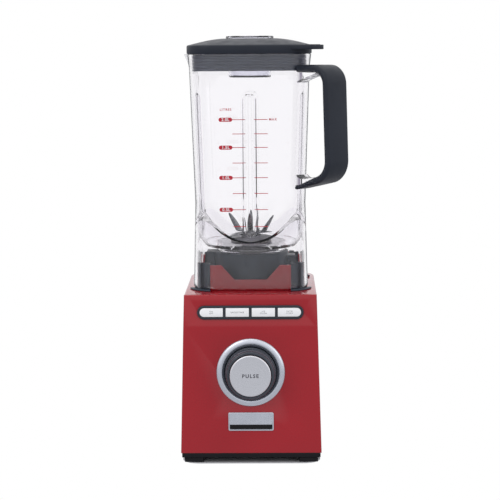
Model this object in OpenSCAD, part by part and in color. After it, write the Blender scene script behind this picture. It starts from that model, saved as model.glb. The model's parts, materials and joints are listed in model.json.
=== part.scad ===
// Countertop blender: leaning motor base with a rotary dial and four push buttons,
// square clear jug with a skirt over the drive seat, charcoal grip, lid and filler cap.
// Origin on the drive axis at the resting plane, +Z up, +X right, -Y towards the user.

/* [Base shell] */
// Width of the shell at its lower edge
base_w = 160; // [150:1:195]
// Height of the flat top above the table
base_h = 192; // [190:1:235]
// Reach of the front face ahead of the drive axis, at the lower edge
front_reach = 101; // [99:1:122]
// Reach of the back face behind the drive axis, at the lower edge
back_reach = 98; // [92:1:120]
// Inward lean of each side over the shell's height
side_lean = 5; // [1:0.5:7]
// Lean of the lower front facet over its height
front_lean = 5; // [2:0.5:8]
// Lean of the upper front facet over its height
brow_lean = 3.5; // [1:0.5:6]
// Lean of the back over the shell's height
back_lean = 8; // [2:0.5:9]
// Height of the upper front facet
brow_h = 36; // [34:1:44]
// Radius of the two back corners
back_r = 26; // [12:1:34]
// Wall of the moulded shell
shell_t = 2.6; // [2:0.1:3.6]
// Least thickness of the front panel
panel_t = 3.5; // [2.5:0.1:4.5]
// Gap between the table and the lower edge of the shell
shell_z = 11; // [10:0.5:16]
// Thickness of the bottom plate
plate_t = 5; // [4:0.5:6]
// Width and length of each foot
foot_w = 21.5; // [15:0.5:26]

/* [Controls] */
// Height of the dial's axis above the table
dial_z = 104; // [101:1:110]
// Outer radius of the silver dial ring
ring_r = 39; // [34:0.5:41]
// Radius of the dial knob at its foot
knob_r = 29; // [26:0.5:30]
// Height of the knob over the front panel
knob_h = 22; // [16:0.5:28]
// Radius of the pulse button
pulse_r = 23.2; // [18:0.2:24]
// Travel of the pulse button
pulse_travel = 2; // [1:0.1:2.4]
// Height of the row of buttons below the flat top
row_drop = 19.7; // [17:0.1:22]
// Width of one push button
button_w = 26.2; // [20:0.2:28]
// Height of one push button
button_h = 9.8; // [8:0.1:11]
// Spacing of the push buttons
button_pitch = 29.4; // [28.6:0.1:30]
// Travel of a push button
button_travel = 1.5; // [0.8:0.1:2]
// Visible edge of the black bezel around the buttons
bezel_edge = 2.9; // [2:0.1:4]
// Width of the blank badge plate
badge_w = 52.4; // [30:0.2:70]
// Height of the blank badge plate
badge_h = 21.8; // [12:0.2:24]

/* [Drive] */
// Gap between the square plinth and the jug's skirt that drops over it
seat_gap = 0.45; // [0.3:0.05:1]
// Height of the red plinth wall over the flat top
plinth_h = 29.5; // [24:0.5:30]
// Radius of the drive hub in the seat
hub_r = 44; // [42:0.5:46]
// Height of the drive hub over the flat top
hub_h = 39; // [37:0.5:40]
// Radius of the open drive socket in the hub
socket_r = 30; // [28:0.5:32]
// Radius of the motor shaft
shaft_r = 4; // [3:0.1:4.5]
// Length of the motor's lamination stack
stack_h = 50; // [40:1:58]
// Radius over the teeth of the drive coupling
star_r = 17; // [15:0.5:18]
// Running gap between the teeth of the two couplings
mesh_gap = 0.7; // [0.5:0.1:1]

/* [Jug] */
// Half-width of the jug's skirt at its lower edge
skirt_w = 66; // [65.9:0.1:72]
// Half-width of the jug at its waist
waist_w = 63.5; // [62:0.1:70]
// Half-width of the jug below its rim
mouth_w = 68.7; // [66:0.1:76]
// Wall of the jug
jug_t = 3; // [2.4:0.1:3.4]
// Height of the waist over the jug's lower edge
waist_h = 97; // [92:1:120]
// Height of the jug's rim over its lower edge
jug_h = 267.2; // [250:0.1:325]
// Outward flare of the rim
rim_flare = 3.4; // [2:0.1:5]
// Radius of the jug's vertical corners
corner_r = 27; // [22:0.5:32]
// Radius of the round bowl at the bottom of the jug
bowl_r = 80.5; // [78:0.5:84]
// Thickness of the bowl's flat floor
floor_t = 5; // [4:0.5:6]
// Radius of the four inward flutes
flute_r = 6.6; // [5:0.1:8]
// Reach of the pouring lip from the jug's axis
spout_reach = 110; // [100:1:120]

/* [Handle] */
// Width of the grip strap
grip_w = 34; // [24:0.5:36]
// Thickness of the grip strap
grip_t = 8.2; // [6:0.1:10]
// Reach of the grip's outer face from the jug's axis
grip_reach = 141; // [128:0.5:160]
// Height of the grip's lower end over the jug's lower edge
grip_low = 114; // [105:1:125]
// Depth of the top of the grip below the rim
grip_drop = 12.4; // [10:0.1:20]

/* [Lid] */
// Height of the lid's upright edge
lid_edge = 10; // [8:0.5:14]
// Rise of the lid's dome over its edge
lid_rise = 7.6; // [4:0.2:10]
// Depth of the ribbed seal below the rim
seal_h = 19; // [14:0.5:22]
// Gap between the seal and the jug's inner wall
seal_gap = 0.4; // [0.3:0.05:0.8]
// Radius of the filler hole in the lid
filler_r = 25; // [18:0.5:30]
// Depth of the filler cap below its flange
cap_depth = 45; // [38:1:60]
// Reach of the lid's lifting tab from the axis
tab_reach = 114; // [104:1:120]

/* [Hidden] */

$fn = 96;
over = 1;               // how far a cutter runs past the face that it cuts
slack = 0.1;            // gap between pieces that are fixed to each other
play = 0.3;             // gap between a moving piece and what guides it
running = 0.05;         // radial gap of a shaft in its bearing
rest_gap = 0.1;         // gap under a piece that is set down on another

// Shell
seam_z = base_h - brow_h;
deck_t = 3;             // thickness of the shell's flat top
front_angle = atan(front_lean / (seam_z - shell_z));
brow_angle = atan(brow_lean / brow_h);
front_travel = front_lean + brow_lean;
boss_r = 5;             // screw boss in the shell
screw_r = 1.8;
plate_z = shell_z - plate_t;

// Motor, measured from the bottom plate upwards
fan_z = shell_z + 9;
fan_h = 12;
low_bracket_z = fan_z + fan_h + 6;
bearing_h = 7;
bearing_r = 11;
brush_z = low_bracket_z + bearing_h + 8;
stack_z = brush_z + 24;
stack_top = stack_z + stack_h;
top_bracket_z = stack_top + 14;
stator_w = 44;
stator_d = 40;
armature_r = 25.2;
air_gap = 0.8;
bracket_t = 5;
motor_post_x = 34;
motor_post_y = 33;
mount_h = 12;

// Seat and drive
socket_floor = base_h + 8;
star_z = socket_floor + 3;
star_h = 18;
star_teeth = 6;
star_tooth_w = 5;
star_root_r = 11;
shell_hole_r = 34;
post_w = 46;            // where a corner post starts, from the middle
post_h = plinth_h + 1.4;
plinth_t = 3;           // wall of the plinth, and of its ring on the flat top
plinth_ring_h = 2;
plinth_r = corner_r - 4;
pad_t = 2;
pad_out = 5;            // how far a pad shows around the skirt

// Jug
jug_z = base_h + pad_t + rest_gap;
waist_z = jug_z + waist_h;
rim_z = jug_z + jug_h;
rim_h = 11;
wall_top_z = rim_z - rim_h - 5;
floor_z = base_h + hub_h + 7;
bowl_foot_r = 53.7;     // radius of the bowl's flat floor
bowl_z = floor_z + sqrt(pow(bowl_r, 2) - pow(bowl_foot_r, 2));
skirt_top = bowl_z - 20;
joint_gap = 0.05;       // gap between two halves of one moulding
inner_floor = floor_z + floor_t;
collar_r = 40;
nut_r = 32;
nut_h = 4.3;
blade_bore = 17;
flute_top = wall_top_z - 29;
mid_lean = atan((mouth_w - waist_w) / (wall_top_z - waist_z));

// Blade unit
spindle_r = 4;
blade_bearing_r = 8;
flange_z = inner_floor + 1;
blade_z = flange_z + 5.4;
blade_t = 1.8;
cup_r = 22.5;
cup_z = star_z + 4;
cup_h = 24;

// Lid
lid_z = rim_z + rest_gap;
lid_top = lid_z + lid_edge + lid_rise;
lid_w = mouth_w + rim_flare + 0.8;
crown_w = filler_r + 8;
cap_wall = 2.2;
cap_flange = 2.8;

function mix(a, b, t) = a + (b - a) * t;
function shell_share(z) = (z - shell_z) / (base_h - shell_z);
// Half-width of the shell at height z
function half_w(z) = base_w / 2 - side_lean * shell_share(z);
// Front face at height z, with its break at the seam
function front_y(z) = z < seam_z
    ? -front_reach + front_lean * (z - shell_z) / (seam_z - shell_z)
    : -front_reach + front_lean + brow_lean * (z - seam_z) / brow_h;
// Flat back of the front panel, where the shell starts
function panel_y(z) = -front_reach + panel_t + front_travel * shell_share(z);
function back_y(z) = back_reach - back_lean * shell_share(z);
// Half-width of the jug's outside at height z
function jug_w(z) = z < waist_z
    ? mix(skirt_w, waist_w, (z - jug_z) / waist_h)
    : mix(waist_w, mouth_w, (z - waist_z) / (wall_top_z - waist_z));
// Half the size of the plinth, which clears the skirt at the top of its posts
plinth_w = jug_w(base_h + post_h) - jug_t - seat_gap;
function arc(c, r, a0, a1, n) = [for (i = [0:n])
    let (a = mix(a0, a1, i / n)) [c[0] + r * cos(a), c[1] + r * sin(a)]];

// ---------- shared shapes ----------

// Plan of the base: square at the front, rounded at the back
module base_plan(w, y0, y1, r) {
    translate([-w, y0]) square([2 * w, y1 - y0 - r]);
    translate([-w + r, y0]) square([2 * (w - r), y1 - y0]);
    for (side = [-1, 1]) translate([side * (w - r), y1 - r]) circle(r);
}

module rounded_square(w, r) {
    square([2 * w, 2 * (w - r)], center = true);
    square([2 * (w - r), 2 * w], center = true);
    for (x = [-1, 1], y = [-1, 1]) translate([x * (w - r), y * (w - r)]) circle(r);
}

// Square tube section that changes width from z0 to z1
module square_taper(z0, w0, r0, z1, w1, r1) {
    hull() {
        translate([0, 0, z0]) linear_extrude(0.01) rounded_square(w0, r0, $fn = 64);
        translate([0, 0, z1 - 0.01]) linear_extrude(0.01) rounded_square(w1, r1, $fn = 64);
    }
}

module ring(r0, r1, z0, z1) {
    translate([0, 0, z0]) difference() {
        cylinder(r = r1, h = z1 - z0);
        translate([0, 0, -over]) cylinder(r = r0, h = z1 - z0 + 2 * over);
    }
}

module disc(r, z0, z1) {
    translate([0, 0, z0]) cylinder(r = r, h = z1 - z0);
}

// Places children on the front face at height z, local +Z outwards, local +Y up the face
module on_front(z) {
    angle = z < seam_z ? front_angle : brow_angle;
    translate([0, front_y(z), z]) rotate([90 - angle, 0, 0]) children();
}

module block(w, d, z0, z1) {
    translate([-w / 2, -d / 2, z0]) cube([w, d, z1 - z0]);
}

module stadium(w, h, z0, z1) {
    translate([0, 0, z0]) linear_extrude(z1 - z0) {
        square([w - h, h], center = true);
        for (side = [-1, 1]) translate([side * (w - h) / 2, 0]) circle(h / 2);
    }
}

// ---------- base ----------

module shell_solid(inset, z0, z1, ahead) {
    hull() for (z = [z0, z1]) translate([0, 0, z == z0 ? z0 : z1 - 0.01])
        linear_extrude(0.01)
            base_plan(half_w(z) - inset, panel_y(z) - ahead, back_y(z) - inset, back_r - inset);
}

module screw_places() {
    for (x = [-1, 1], y = [panel_y(shell_z) + 34, back_y(shell_z) - 30])
        translate([x * (half_w(shell_z + 40) - shell_t - boss_r + 1), y, 0]) children();
}

module motor_posts() {
    for (x = [-1, 1], y = [-1, 1])
        translate([x * motor_post_x, y * motor_post_y, 0]) children();
}

// One wall of the red plinth, between two corner posts, with its sloping notch
module plinth_wall() {
    notch_top = 33.5;
    notch_low = 18.5;
    notch_z = plinth_h - 16.8;
    wall_end = post_w - slack;
    intersection() {
        rotate([90, 0, 0]) translate([0, base_h + slack, plinth_w - plinth_t])
            linear_extrude(plinth_t)
                polygon([[-wall_end, 0], [wall_end, 0], [wall_end, plinth_h - slack],
                    [notch_top, plinth_h - slack], [notch_low, notch_z], [-notch_low, notch_z],
                    [-notch_top, plinth_h - slack], [-wall_end, plinth_h - slack]]);
        translate([0, 0, base_h]) linear_extrude(plinth_h + over)
            rounded_square(plinth_w, plinth_r);
    }
}

// Red frame that stands on the flat top: a low ring with four notched walls
module drive_plinth() {
    color([0.68, 0.10, 0.13]) {
        translate([0, 0, base_h + slack]) linear_extrude(plinth_ring_h - slack) difference() {
            rounded_square(plinth_w, plinth_r);
            rounded_square(plinth_w - plinth_t, plinth_r - plinth_t);
        }
        corner_places() plinth_wall();
    }
}

module base_housing() {
    color([0.68, 0.10, 0.13]) {
        difference() {
            shell_solid(0, shell_z, base_h, 0);
            shell_solid(shell_t, shell_z - over, base_h - deck_t, 40);
            disc(shell_hole_r, base_h - deck_t - over, base_h + over);
            gland_place() cylinder(r = 8, h = 30, center = true);
            for (i = [-3:3]) translate([i * 9 - 2, back_y(60), 60]) cube([4, 30, 34], center = true);
        }
        motor_posts() motor_column();
        screw_places() screw_boss();
    }
}

// Column that hangs from the flat top down to a motor mount
module motor_column() {
    foot = top_bracket_z + bracket_t + mount_h;
    difference() {
        disc(6, foot, base_h - deck_t);
        disc(screw_r, foot - over, foot + 14);
    }
}

// Screw boss that stands on the shell's side wall
module screw_boss() {
    difference() {
        disc(boss_r, shell_z + 4, shell_z + 38);
        disc(screw_r + slack, shell_z, shell_z + 26);
    }
}

module front_panel() {
    color([0.68, 0.10, 0.13]) {
        difference() {
            intersection() {
                rotate([90, 0, 90]) translate([0, 0, -base_w / 2]) linear_extrude(base_w)
                    polygon([[front_y(shell_z), shell_z], [panel_y(shell_z), shell_z],
                        [panel_y(base_h), base_h], [front_y(base_h), base_h],
                        [front_y(seam_z), seam_z]]);
                rotate([90, 0, 0]) linear_extrude(front_reach + over)
                    polygon([[-half_w(shell_z), shell_z], [half_w(shell_z), shell_z],
                        [half_w(base_h), base_h], [-half_w(base_h), base_h]]);
            }
            on_front(dial_z) cylinder(r = ring_bore_r, h = 30, center = true);
            on_front(row_z) stadium(bezel_w - 2, bezel_h - 2, -15, 15);
        }
        on_front(dial_z) for (x = [-1, 1], y = [-1, 1]) translate([x * 31, y * 31, 0])
            disc(3, -dial_board_z, -2);
        on_front(row_z) for (side = [-1, 1]) translate([side * 64.5, 0, 0])
            disc(2.6, -button_board_z, -2);
    }
}

ring_bore_r = knob_r + 1.6;
row_z = base_h - row_drop;
row_w = 3 * button_pitch + button_w;
bezel_w = row_w + 2 * bezel_edge;
bezel_h = button_h + 2 * bezel_edge;
dial_board_z = 27;
button_board_z = 14.4;
board_t = 1.6;

module base_plate() {
    inset = 1.2;
    color([0.10, 0.10, 0.11]) difference() {
        translate([0, 0, plate_z]) linear_extrude(plate_t - slack)
            base_plan(half_w(shell_z) - inset, front_y(shell_z) + inset,
                back_y(shell_z) - inset, back_r - inset);
        for (i = [-4:4]) translate([i * 8, 0, plate_z + plate_t / 2])
            cube([4, 56, plate_t + 2 * over], center = true);
        screw_places() {
            disc(screw_r + slack, plate_z - over, shell_z + over);
            disc(4.4, plate_z - over, plate_z + 2.6);
        }
        foot_places() block(foot_w - 6, foot_w - 6, plate_z - over, plate_z + 2);
    }
}

module foot_places() {
    front = [half_w(shell_z) - 4 - foot_w / 2, front_y(shell_z) + 3 + foot_w / 2];
    back = [half_w(shell_z) - 6.5 - foot_w / 2, back_y(shell_z) - 8 - foot_w / 2];
    for (x = [-1, 1], spot = [front, back]) translate([x * spot.x, spot.y, 0]) children();
}

module rubber_feet() {
    color([0.07, 0.07, 0.08]) foot_places() {
        block(foot_w, foot_w, 0, plate_z - slack);
        block(foot_w - 6.4, foot_w - 6.4, plate_z - slack - 0.5, plate_z + 1.8);
    }
}

module base_screws() {
    color([0.55, 0.56, 0.58]) screw_places() {
        disc(screw_r, plate_z + 0.6, shell_z + 18);
        disc(4.1, plate_z + 0.2, plate_z + 2.5);
    }
}

module button_bezel() {
    color([0.12, 0.13, 0.15]) on_front(row_z) difference() {
        union() {
            stadium(bezel_w, bezel_h, slack, 1.2);
            stadium(bezel_w - 2 - 2 * slack, bezel_h - 2 - 2 * slack, -7, 1);
        }
        for (i = [0:3]) button_shape(i, play, -7 - over, 2);
    }
}

// One button's outline, grown by gap: the two end buttons have a round outer end
module button_shape(i, gap, z0, z1) {
    w = button_w + 2 * gap;
    h = button_h + 2 * gap;
    translate([(i - 1.5) * button_pitch, 0, 0]) if (i == 0 || i == 3) {
        side = i == 0 ? -1 : 1;
        translate([0, 0, z0]) linear_extrude(z1 - z0) {
            translate([-side * h / 4, 0]) square([w - h / 2, h], center = true);
            translate([side * (w - h) / 2, 0]) circle(h / 2);
        }
    } else block(w, h, z0, z1);
}

module button(i) {
    color([0.93, 0.93, 0.94]) on_front(row_z) {
        button_shape(i, 0, -4, 2.2);
        translate([(i - 1.5) * button_pitch, 0, 0])
            block(5, 5, -switch_top + play + button_travel, -4);
    }
}

switch_top = 9.6;

module button_1() { button(0); }
module button_2() { button(1); }
module button_3() { button(2); }
module button_4() { button(3); }

module button_board() {
    color([0.10, 0.35, 0.20]) on_front(row_z)
        block(2 * 68, 19, -button_board_z - board_t, -button_board_z - 0.02);
}

module button_switches() {
    color([0.15, 0.15, 0.16]) on_front(row_z) for (i = [0:3])
        translate([(i - 1.5) * button_pitch, 0, 0]) {
            block(6, 6, -button_board_z, -switch_top - 1);
            disc(1.8, -switch_top - 1.2, -switch_top);
        }
}

module dial_ring() {
    color([0.78, 0.79, 0.82]) on_front(dial_z) rotate_extrude()
        polygon([[knob_r + 0.6, -5], [ring_bore_r - slack, -5], [ring_bore_r - slack, slack],
            [ring_r, slack], [ring_r, 1.2], [ring_r - 1.6, 2.8], [knob_r + 3.6, 3.6],
            [knob_r + 1.8, 2.4], [knob_r + 0.6, 1.4]]);
}

module badge_plate() {
    badge_z = mix(shell_z, dial_z - ring_r, 0.68);
    color([0.80, 0.81, 0.83]) on_front(badge_z) {
        stadium_plate(badge_w, badge_h, 2, slack, 1.3);
        translate([0, -badge_h * 0.29, 0]) block(badge_w - 4, badge_h * 0.24, 1.2, 1.5);
    }
}

module stadium_plate(w, h, r, z0, z1) {
    translate([0, 0, z0]) linear_extrude(z1 - z0) {
        square([w - 2 * r, h], center = true);
        square([w, h - 2 * r], center = true);
        for (x = [-1, 1], y = [-1, 1]) translate([x * (w / 2 - r), y * (h / 2 - r)]) circle(r);
    }
}

module dial_board() {
    color([0.10, 0.35, 0.20]) on_front(dial_z) difference() {
        block(70, 70, -dial_board_z - board_t, -dial_board_z - 0.02);
        disc(4, -dial_board_z - 5, -dial_board_z + 5);
    }
}

encoder_z = 17.5;

module dial_encoder() {
    color([0.20, 0.20, 0.22]) on_front(dial_z) difference() {
        block(30, 30, -dial_board_z, -encoder_z);
        disc(dial_shaft_r + running, -dial_board_z - over, -encoder_z + over);
    }
}

dial_shaft_r = 5;
plunger_r = 2.4;
plunger_end = dial_board_z + board_t + 5.5;

module dial_shaft() {
    color([0.70, 0.71, 0.73]) on_front(dial_z)
        ring(plunger_r + play, dial_shaft_r, -dial_board_z + 0.6, 6);
}

// Open knob that turns in the ring and carries the pulse button in its mouth
module dial_knob() {
    floor_in = knob_h - 9;
    color([0.10, 0.10, 0.11]) on_front(dial_z) {
        rotate_extrude() polygon([[dial_shaft_r + slack, 6.1], [dial_shaft_r + slack, -4],
            [9, -4], [9, 3], [knob_r - 3, 3], [knob_r - 3, 0.4], [knob_r, 0.4],
            [knob_r, 5], [knob_r - 1.2, knob_h - 1.4], [knob_r - 2.4, knob_h],
            [pulse_r + 1.2, knob_h], [pulse_r + play, knob_h - 1],
            [pulse_r + play, floor_in], [8, floor_in], [8, 6.1]]);
    }
}

module pulse_button() {
    color([0.80, 0.81, 0.83]) on_front(dial_z) {
        rotate_extrude() polygon([[0, knob_h + 4], [0, knob_h - 2.5], [pulse_r, knob_h - 2.5],
            [pulse_r, knob_h + 3.2], [pulse_r - 0.8, knob_h + 4]]);
        disc(plunger_r, -plunger_end, knob_h - 2);
    }
}

module pulse_switch() {
    top = plunger_end + pulse_travel + play;
    color([0.15, 0.15, 0.16]) on_front(dial_z) {
        block(20, 10, -top - 9, -top);
        for (side = [-1, 1]) translate([side * 8, 0, 0])
            block(3, 8, -top, -dial_board_z - board_t);
    }
}

// ---------- motor ----------

module motor_stator() {
    color([0.45, 0.46, 0.48]) difference() {
        intersection() {
            block(2 * stator_w, 2 * stator_d, stack_z, stack_top);
            disc(54, stack_z - over, stack_top + over);
        }
        disc(armature_r + air_gap, stack_z - over, stack_top + over);
    }
}

module field_coils() {
    color([0.72, 0.38, 0.18]) for (z = [stack_z - 9, stack_top + 0.02], side = [-1, 1])
        difference() {
            translate([side * 34, 0, 0]) block(14, 44, z, z + 8.98);
            disc(armature_r + 1.5, z - over, z + 10);
        }
}

// Bridge over the laminations with a bearing seat in the middle
module motor_bridge(z, foot_z) {
    difference() {
        union() {
            block(26, 2 * stator_d, z, z + bracket_t);
            disc(bearing_r + 3, z, z + bracket_t + bearing_h - 2);
            for (y = [-1, 1]) translate([0, y * motor_post_y, 0])
                block(2 * motor_post_x + 14, 14, z, z + bracket_t);
            for (y = [-1, 1]) translate([0, y * (stator_d - 3), 0])
                block(20, 6, min(z, foot_z), max(z, foot_z));
        }
        disc(shaft_r + 2, z - over, z + 30);
        disc(bearing_r + slack / 2, z + 2, z + 30);
        motor_posts() disc(screw_r + 1, z - over, z + bracket_t + over);
    }
}

module motor_top_bracket() {
    color([0.75, 0.76, 0.78]) motor_bridge(top_bracket_z, stack_top);
}

module motor_low_bracket() {
    color([0.75, 0.76, 0.78]) motor_bridge(low_bracket_z, stack_z);
}

module motor_bearings() {
    color([0.82, 0.83, 0.85]) for (z = [low_bracket_z, top_bracket_z])
        ring(shaft_r + running, bearing_r, z + 2.02, z + 2 + bearing_h);
}

module brush_holders() {
    color([0.80, 0.62, 0.25]) for (side = [-1, 1])
        translate([side * 25, 0, 0]) block(22, 9, brush_z + 3, brush_z + 13);
}

module motor_mounts() {
    color([0.07, 0.07, 0.08]) motor_posts()
        ring(screw_r + 0.6, 7, top_bracket_z + bracket_t + 0.02,
            top_bracket_z + bracket_t + mount_h - 0.02);
}

module fan_shroud() {
    color([0.16, 0.16, 0.18]) {
        ring(42, 44.5, shell_z + 0.02, fan_z + fan_h + 2);
        for (turn = [45:90:315]) rotate(turn) translate([46, 0, 0])
            block(6, 8, shell_z + 0.02, shell_z + 4);
    }
}

module rotor_shaft() {
    color([0.80, 0.81, 0.83]) disc(shaft_r, fan_z - 2, star_z + star_h - 4);
}

module rotor_core() {
    slots = 12;
    color([0.50, 0.50, 0.53]) difference() {
        ring(shaft_r + slack, armature_r, stack_z, stack_top);
        for (i = [0:slots - 1]) rotate(i * 360 / slots) translate([armature_r, 0, 0])
            block(10, 2.4, stack_z - over, stack_top + over);
    }
}

module commutator() {
    color([0.74, 0.42, 0.22]) {
        ring(shaft_r + slack, 13.6, brush_z, brush_z + 17);
        ring(shaft_r + slack, 9, brush_z + 16.9, stack_z);
    }
}

module cooling_fan() {
    blades = 11;
    color([0.18, 0.18, 0.20]) {
        ring(shaft_r + slack, 9, fan_z, fan_z + fan_h);
        ring(8.9, 39.5, fan_z + fan_h - 2, fan_z + fan_h);
        for (i = [0:blades - 1]) rotate(i * 360 / blades) translate([24, 0, 0]) rotate(35)
            block(26, 1.4, fan_z, fan_z + fan_h - 1);
    }
}

module star(r, gap, z0, z1) {
    disc(star_root_r + gap, z0, z1);
    for (i = [0:star_teeth - 1]) rotate(i * 360 / star_teeth)
        translate([0, -star_tooth_w / 2 - gap, z0]) cube([r + gap, star_tooth_w + 2 * gap, z1 - z0]);
}

module drive_coupling() {
    color([0.14, 0.14, 0.15]) difference() {
        union() {
            star(star_r, 0, star_z + 2, star_z + star_h);
            disc(star_r, star_z, star_z + 2.2);
        }
        disc(shaft_r + slack, star_z - over, star_z + star_h - 3.9);
    }
}

// ---------- seat ----------

module corner_places() {
    for (turn = [0:90:270]) rotate(turn) children();
}

// Corner piece of a rounded square tube, over the first quadrant
module corner_piece(w, r, t, z0, z1) {
    translate([0, 0, z0]) linear_extrude(z1 - z0) intersection() {
        difference() {
            rounded_square(w, r);
            rounded_square(w - t, r - t);
        }
        translate([post_w, post_w]) square(w);
    }
}

module jug_seat() {
    tray_w = plinth_w - plinth_t - 2 * slack;
    tray_r = plinth_r - plinth_t;
    tray_t = 3;
    post_t = 14;
    wing_x = 53;
    wing_d = 24;
    color([0.20, 0.21, 0.24]) difference() {
        union() {
            translate([0, 0, base_h]) linear_extrude(tray_t) rounded_square(tray_w, tray_r);
            disc(hub_r, base_h, base_h + hub_h);
            disc(shell_hole_r - 0.4, base_h - deck_t, base_h + 1);
            corner_places() {
                corner_piece(plinth_w, plinth_r, post_t, base_h + plinth_ring_h + slack,
                    base_h + post_h);
                corner_piece(tray_w, tray_r, post_t, base_h, base_h + post_h);
            }
            translate([-wing_x, -wing_d / 2, base_h]) cube([wing_x, wing_d, hub_h]);
            translate([0, -wing_d / 2, base_h]) cube([wing_x, wing_d, hub_h - 5]);
        }
        disc(socket_r, socket_floor, base_h + hub_h + over);
        disc(shaft_r + 3, base_h - 10, socket_floor + over);
        corner_places() translate([post_w + 1.6, post_w + 1.6, base_h + tray_t])
            cube([9, 9, post_h]);
    }
}

module seat_pads() {
    color([0.06, 0.06, 0.07]) corner_places()
        corner_piece(skirt_w + pad_out, corner_r + pad_out, skirt_w + pad_out - plinth_w - slack,
            base_h + 0.02, base_h + pad_t);
}

module gland_place() {
    gland_z = shell_z + 19;
    tilt = atan(back_lean / (base_h - shell_z));
    translate([0, back_y(gland_z), gland_z]) rotate([-90 + tilt, 0, 0]) children();
}

module cord_gland() {
    color([0.08, 0.08, 0.09]) gland_place() difference() {
        union() {
            disc(8 - slack, -shell_t - 4, slack);
            disc(11, slack, 3);
            disc(6.5, 2.9, 9);
            disc(10, -shell_t - 4, -shell_t - slack);
        }
        disc(3.6, -20, 20);
    }
}

// ---------- jug ----------

module jug_outside() {
    square_taper(jug_z, skirt_w, corner_r, waist_z, waist_w, corner_r);
    square_taper(waist_z, waist_w, corner_r, wall_top_z, mouth_w, corner_r);
    square_taper(wall_top_z - 0.01, mouth_w, corner_r, rim_z, mouth_w + rim_flare,
        corner_r + rim_flare);
}

// Round bowl with a flat floor
module bowl(r, floor_height) {
    intersection() {
        translate([0, 0, bowl_z]) sphere(r);
        translate([-100, -100, floor_height]) cube([200, 200, bowl_z - floor_height]);
    }
}

module jug_inside() {
    low_w = jug_w(waist_z) - jug_t - 1;
    inner_r = corner_r - jug_t;
    intersection() {
        square_taper(inner_floor, low_w, inner_r, rim_z + over,
            mouth_w + 0.6 - jug_t, inner_r);
        union() {
            bowl(bowl_r - jug_t, inner_floor);
            translate([-100, -100, bowl_z - 0.01]) cube([200, 200, rim_z + 20 - bowl_z]);
        }
    }
}

// Where the vessel is: inside the bowl's sphere, and everywhere above the skirt
module vessel_zone() {
    bowl(bowl_r, floor_z);
    translate([-100, -100, skirt_top]) cube([200, 200, rim_z + over - skirt_top]);
}

// Lower half of the jug's moulding: the walls that drop over the drive seat
module jug_skirt() {
    color([0.86, 0.86, 0.90, 0.35]) difference() {
        square_taper(jug_z, skirt_w, corner_r, skirt_top - joint_gap, jug_w(skirt_top),
            corner_r);
        square_taper(jug_z - over, skirt_w - jug_t, corner_r - jug_t, skirt_top + over,
            jug_w(skirt_top) - jug_t, corner_r - jug_t);
        bowl(bowl_r + joint_gap, floor_z - joint_gap);
    }
}

// Upright rod with a round top, following the lean of the jug's face
module flute(r) {
    low = floor_z + 16;
    translate([0, -jug_w(flute_top) - 1.8, flute_top - flute_r]) rotate([mid_lean, 0, 0]) {
        sphere(r);
        translate([0, 0, low - flute_top]) cylinder(r = r, h = flute_top - low);
    }
}

module spout(inset, z1) {
    tip_r = 9 - inset;
    side = mouth_w - corner_r;
    hull() {
        translate([-side, side, rim_z - 26]) cylinder(r = corner_r - inset, h = 1, $fn = 48);
        translate([-side, side, z1]) cylinder(r = corner_r - inset, h = 1, $fn = 48);
        rotate(135) translate([spout_reach - 9, 0, z1]) cylinder(r = tip_r, h = 1, $fn = 32);
    }
}

// Turns the plane of the handle to the front right corner: X outwards, Y up
module in_handle_plane(width) {
    rotate(-45) rotate([90, 0, 0]) translate([0, 0, -width / 2]) linear_extrude(width) children();
}

module jug_roots() {
    in_handle_plane(20) difference() {
        union() {
            polygon([[70, grip_top - grip_t - 0.05], [118, grip_top - grip_t - 0.05],
                [104, grip_top - grip_t - 8], [84, grip_top - grip_t - 15], [70, grip_top - 40]]);
            polygon([[62, grip_end - 4], [72, grip_end - 6], [86, grip_end + 4.1],
                [112, grip_end + 14], [98, grip_end + 18], [84, grip_end + 27], [62, grip_end + 30]]);
        }
        handle_outline();
    }
}

grip_top = rim_z - grip_drop;
grip_end = jug_z + grip_low;
grip_bend_r = 24;
grip_foot_r = 27;
grip_foot_angle = 72;

// Strap in the handle plane: flat top arm, upright grip, sloping lower arm
module handle_outline() {
    out = grip_reach;
    top_c = [out - 3 - grip_bend_r, grip_top - grip_bend_r];
    foot_c = [out - grip_foot_r, grip_end + 11 + grip_foot_r];
    arm = grip_foot_angle;
    outer = concat([[60, grip_top]], arc(top_c, grip_bend_r, 90, 0, 10),
        arc(foot_c, grip_foot_r, 0, -arm, 10), [[80, grip_end]]);
    inner = concat([[80, grip_end + 4]], arc(foot_c, grip_foot_r - grip_t, -arm, 0, 10),
        arc(top_c, grip_bend_r - grip_t, 0, 90, 10), [[60, grip_top - grip_t]]);
    polygon(concat(outer, inner));
}

// Upper half of the jug's moulding: fluted walls, rim, pouring lip, bowl and grip roots
module jug_vessel() {
    color([0.86, 0.86, 0.90, 0.35]) difference() {
        union() {
            difference() {
                union() {
                    intersection() {
                        jug_outside();
                        vessel_zone();
                    }
                    spout(0, rim_z - 1);
                }
                jug_inside();
                spout(jug_t, rim_z + 0.5);
            }
            intersection() {
                corner_places() flute(flute_r + 2.6);
                jug_body_core();
            }
            ring(nut_r + 1, collar_r, floor_z - 6, floor_z + 0.1);
            difference() {
                jug_roots();
                jug_body_core();
            }
        }
        corner_places() flute(flute_r);
        disc(blade_bore, floor_z - 10, inner_floor + over);
    }
}

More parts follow.
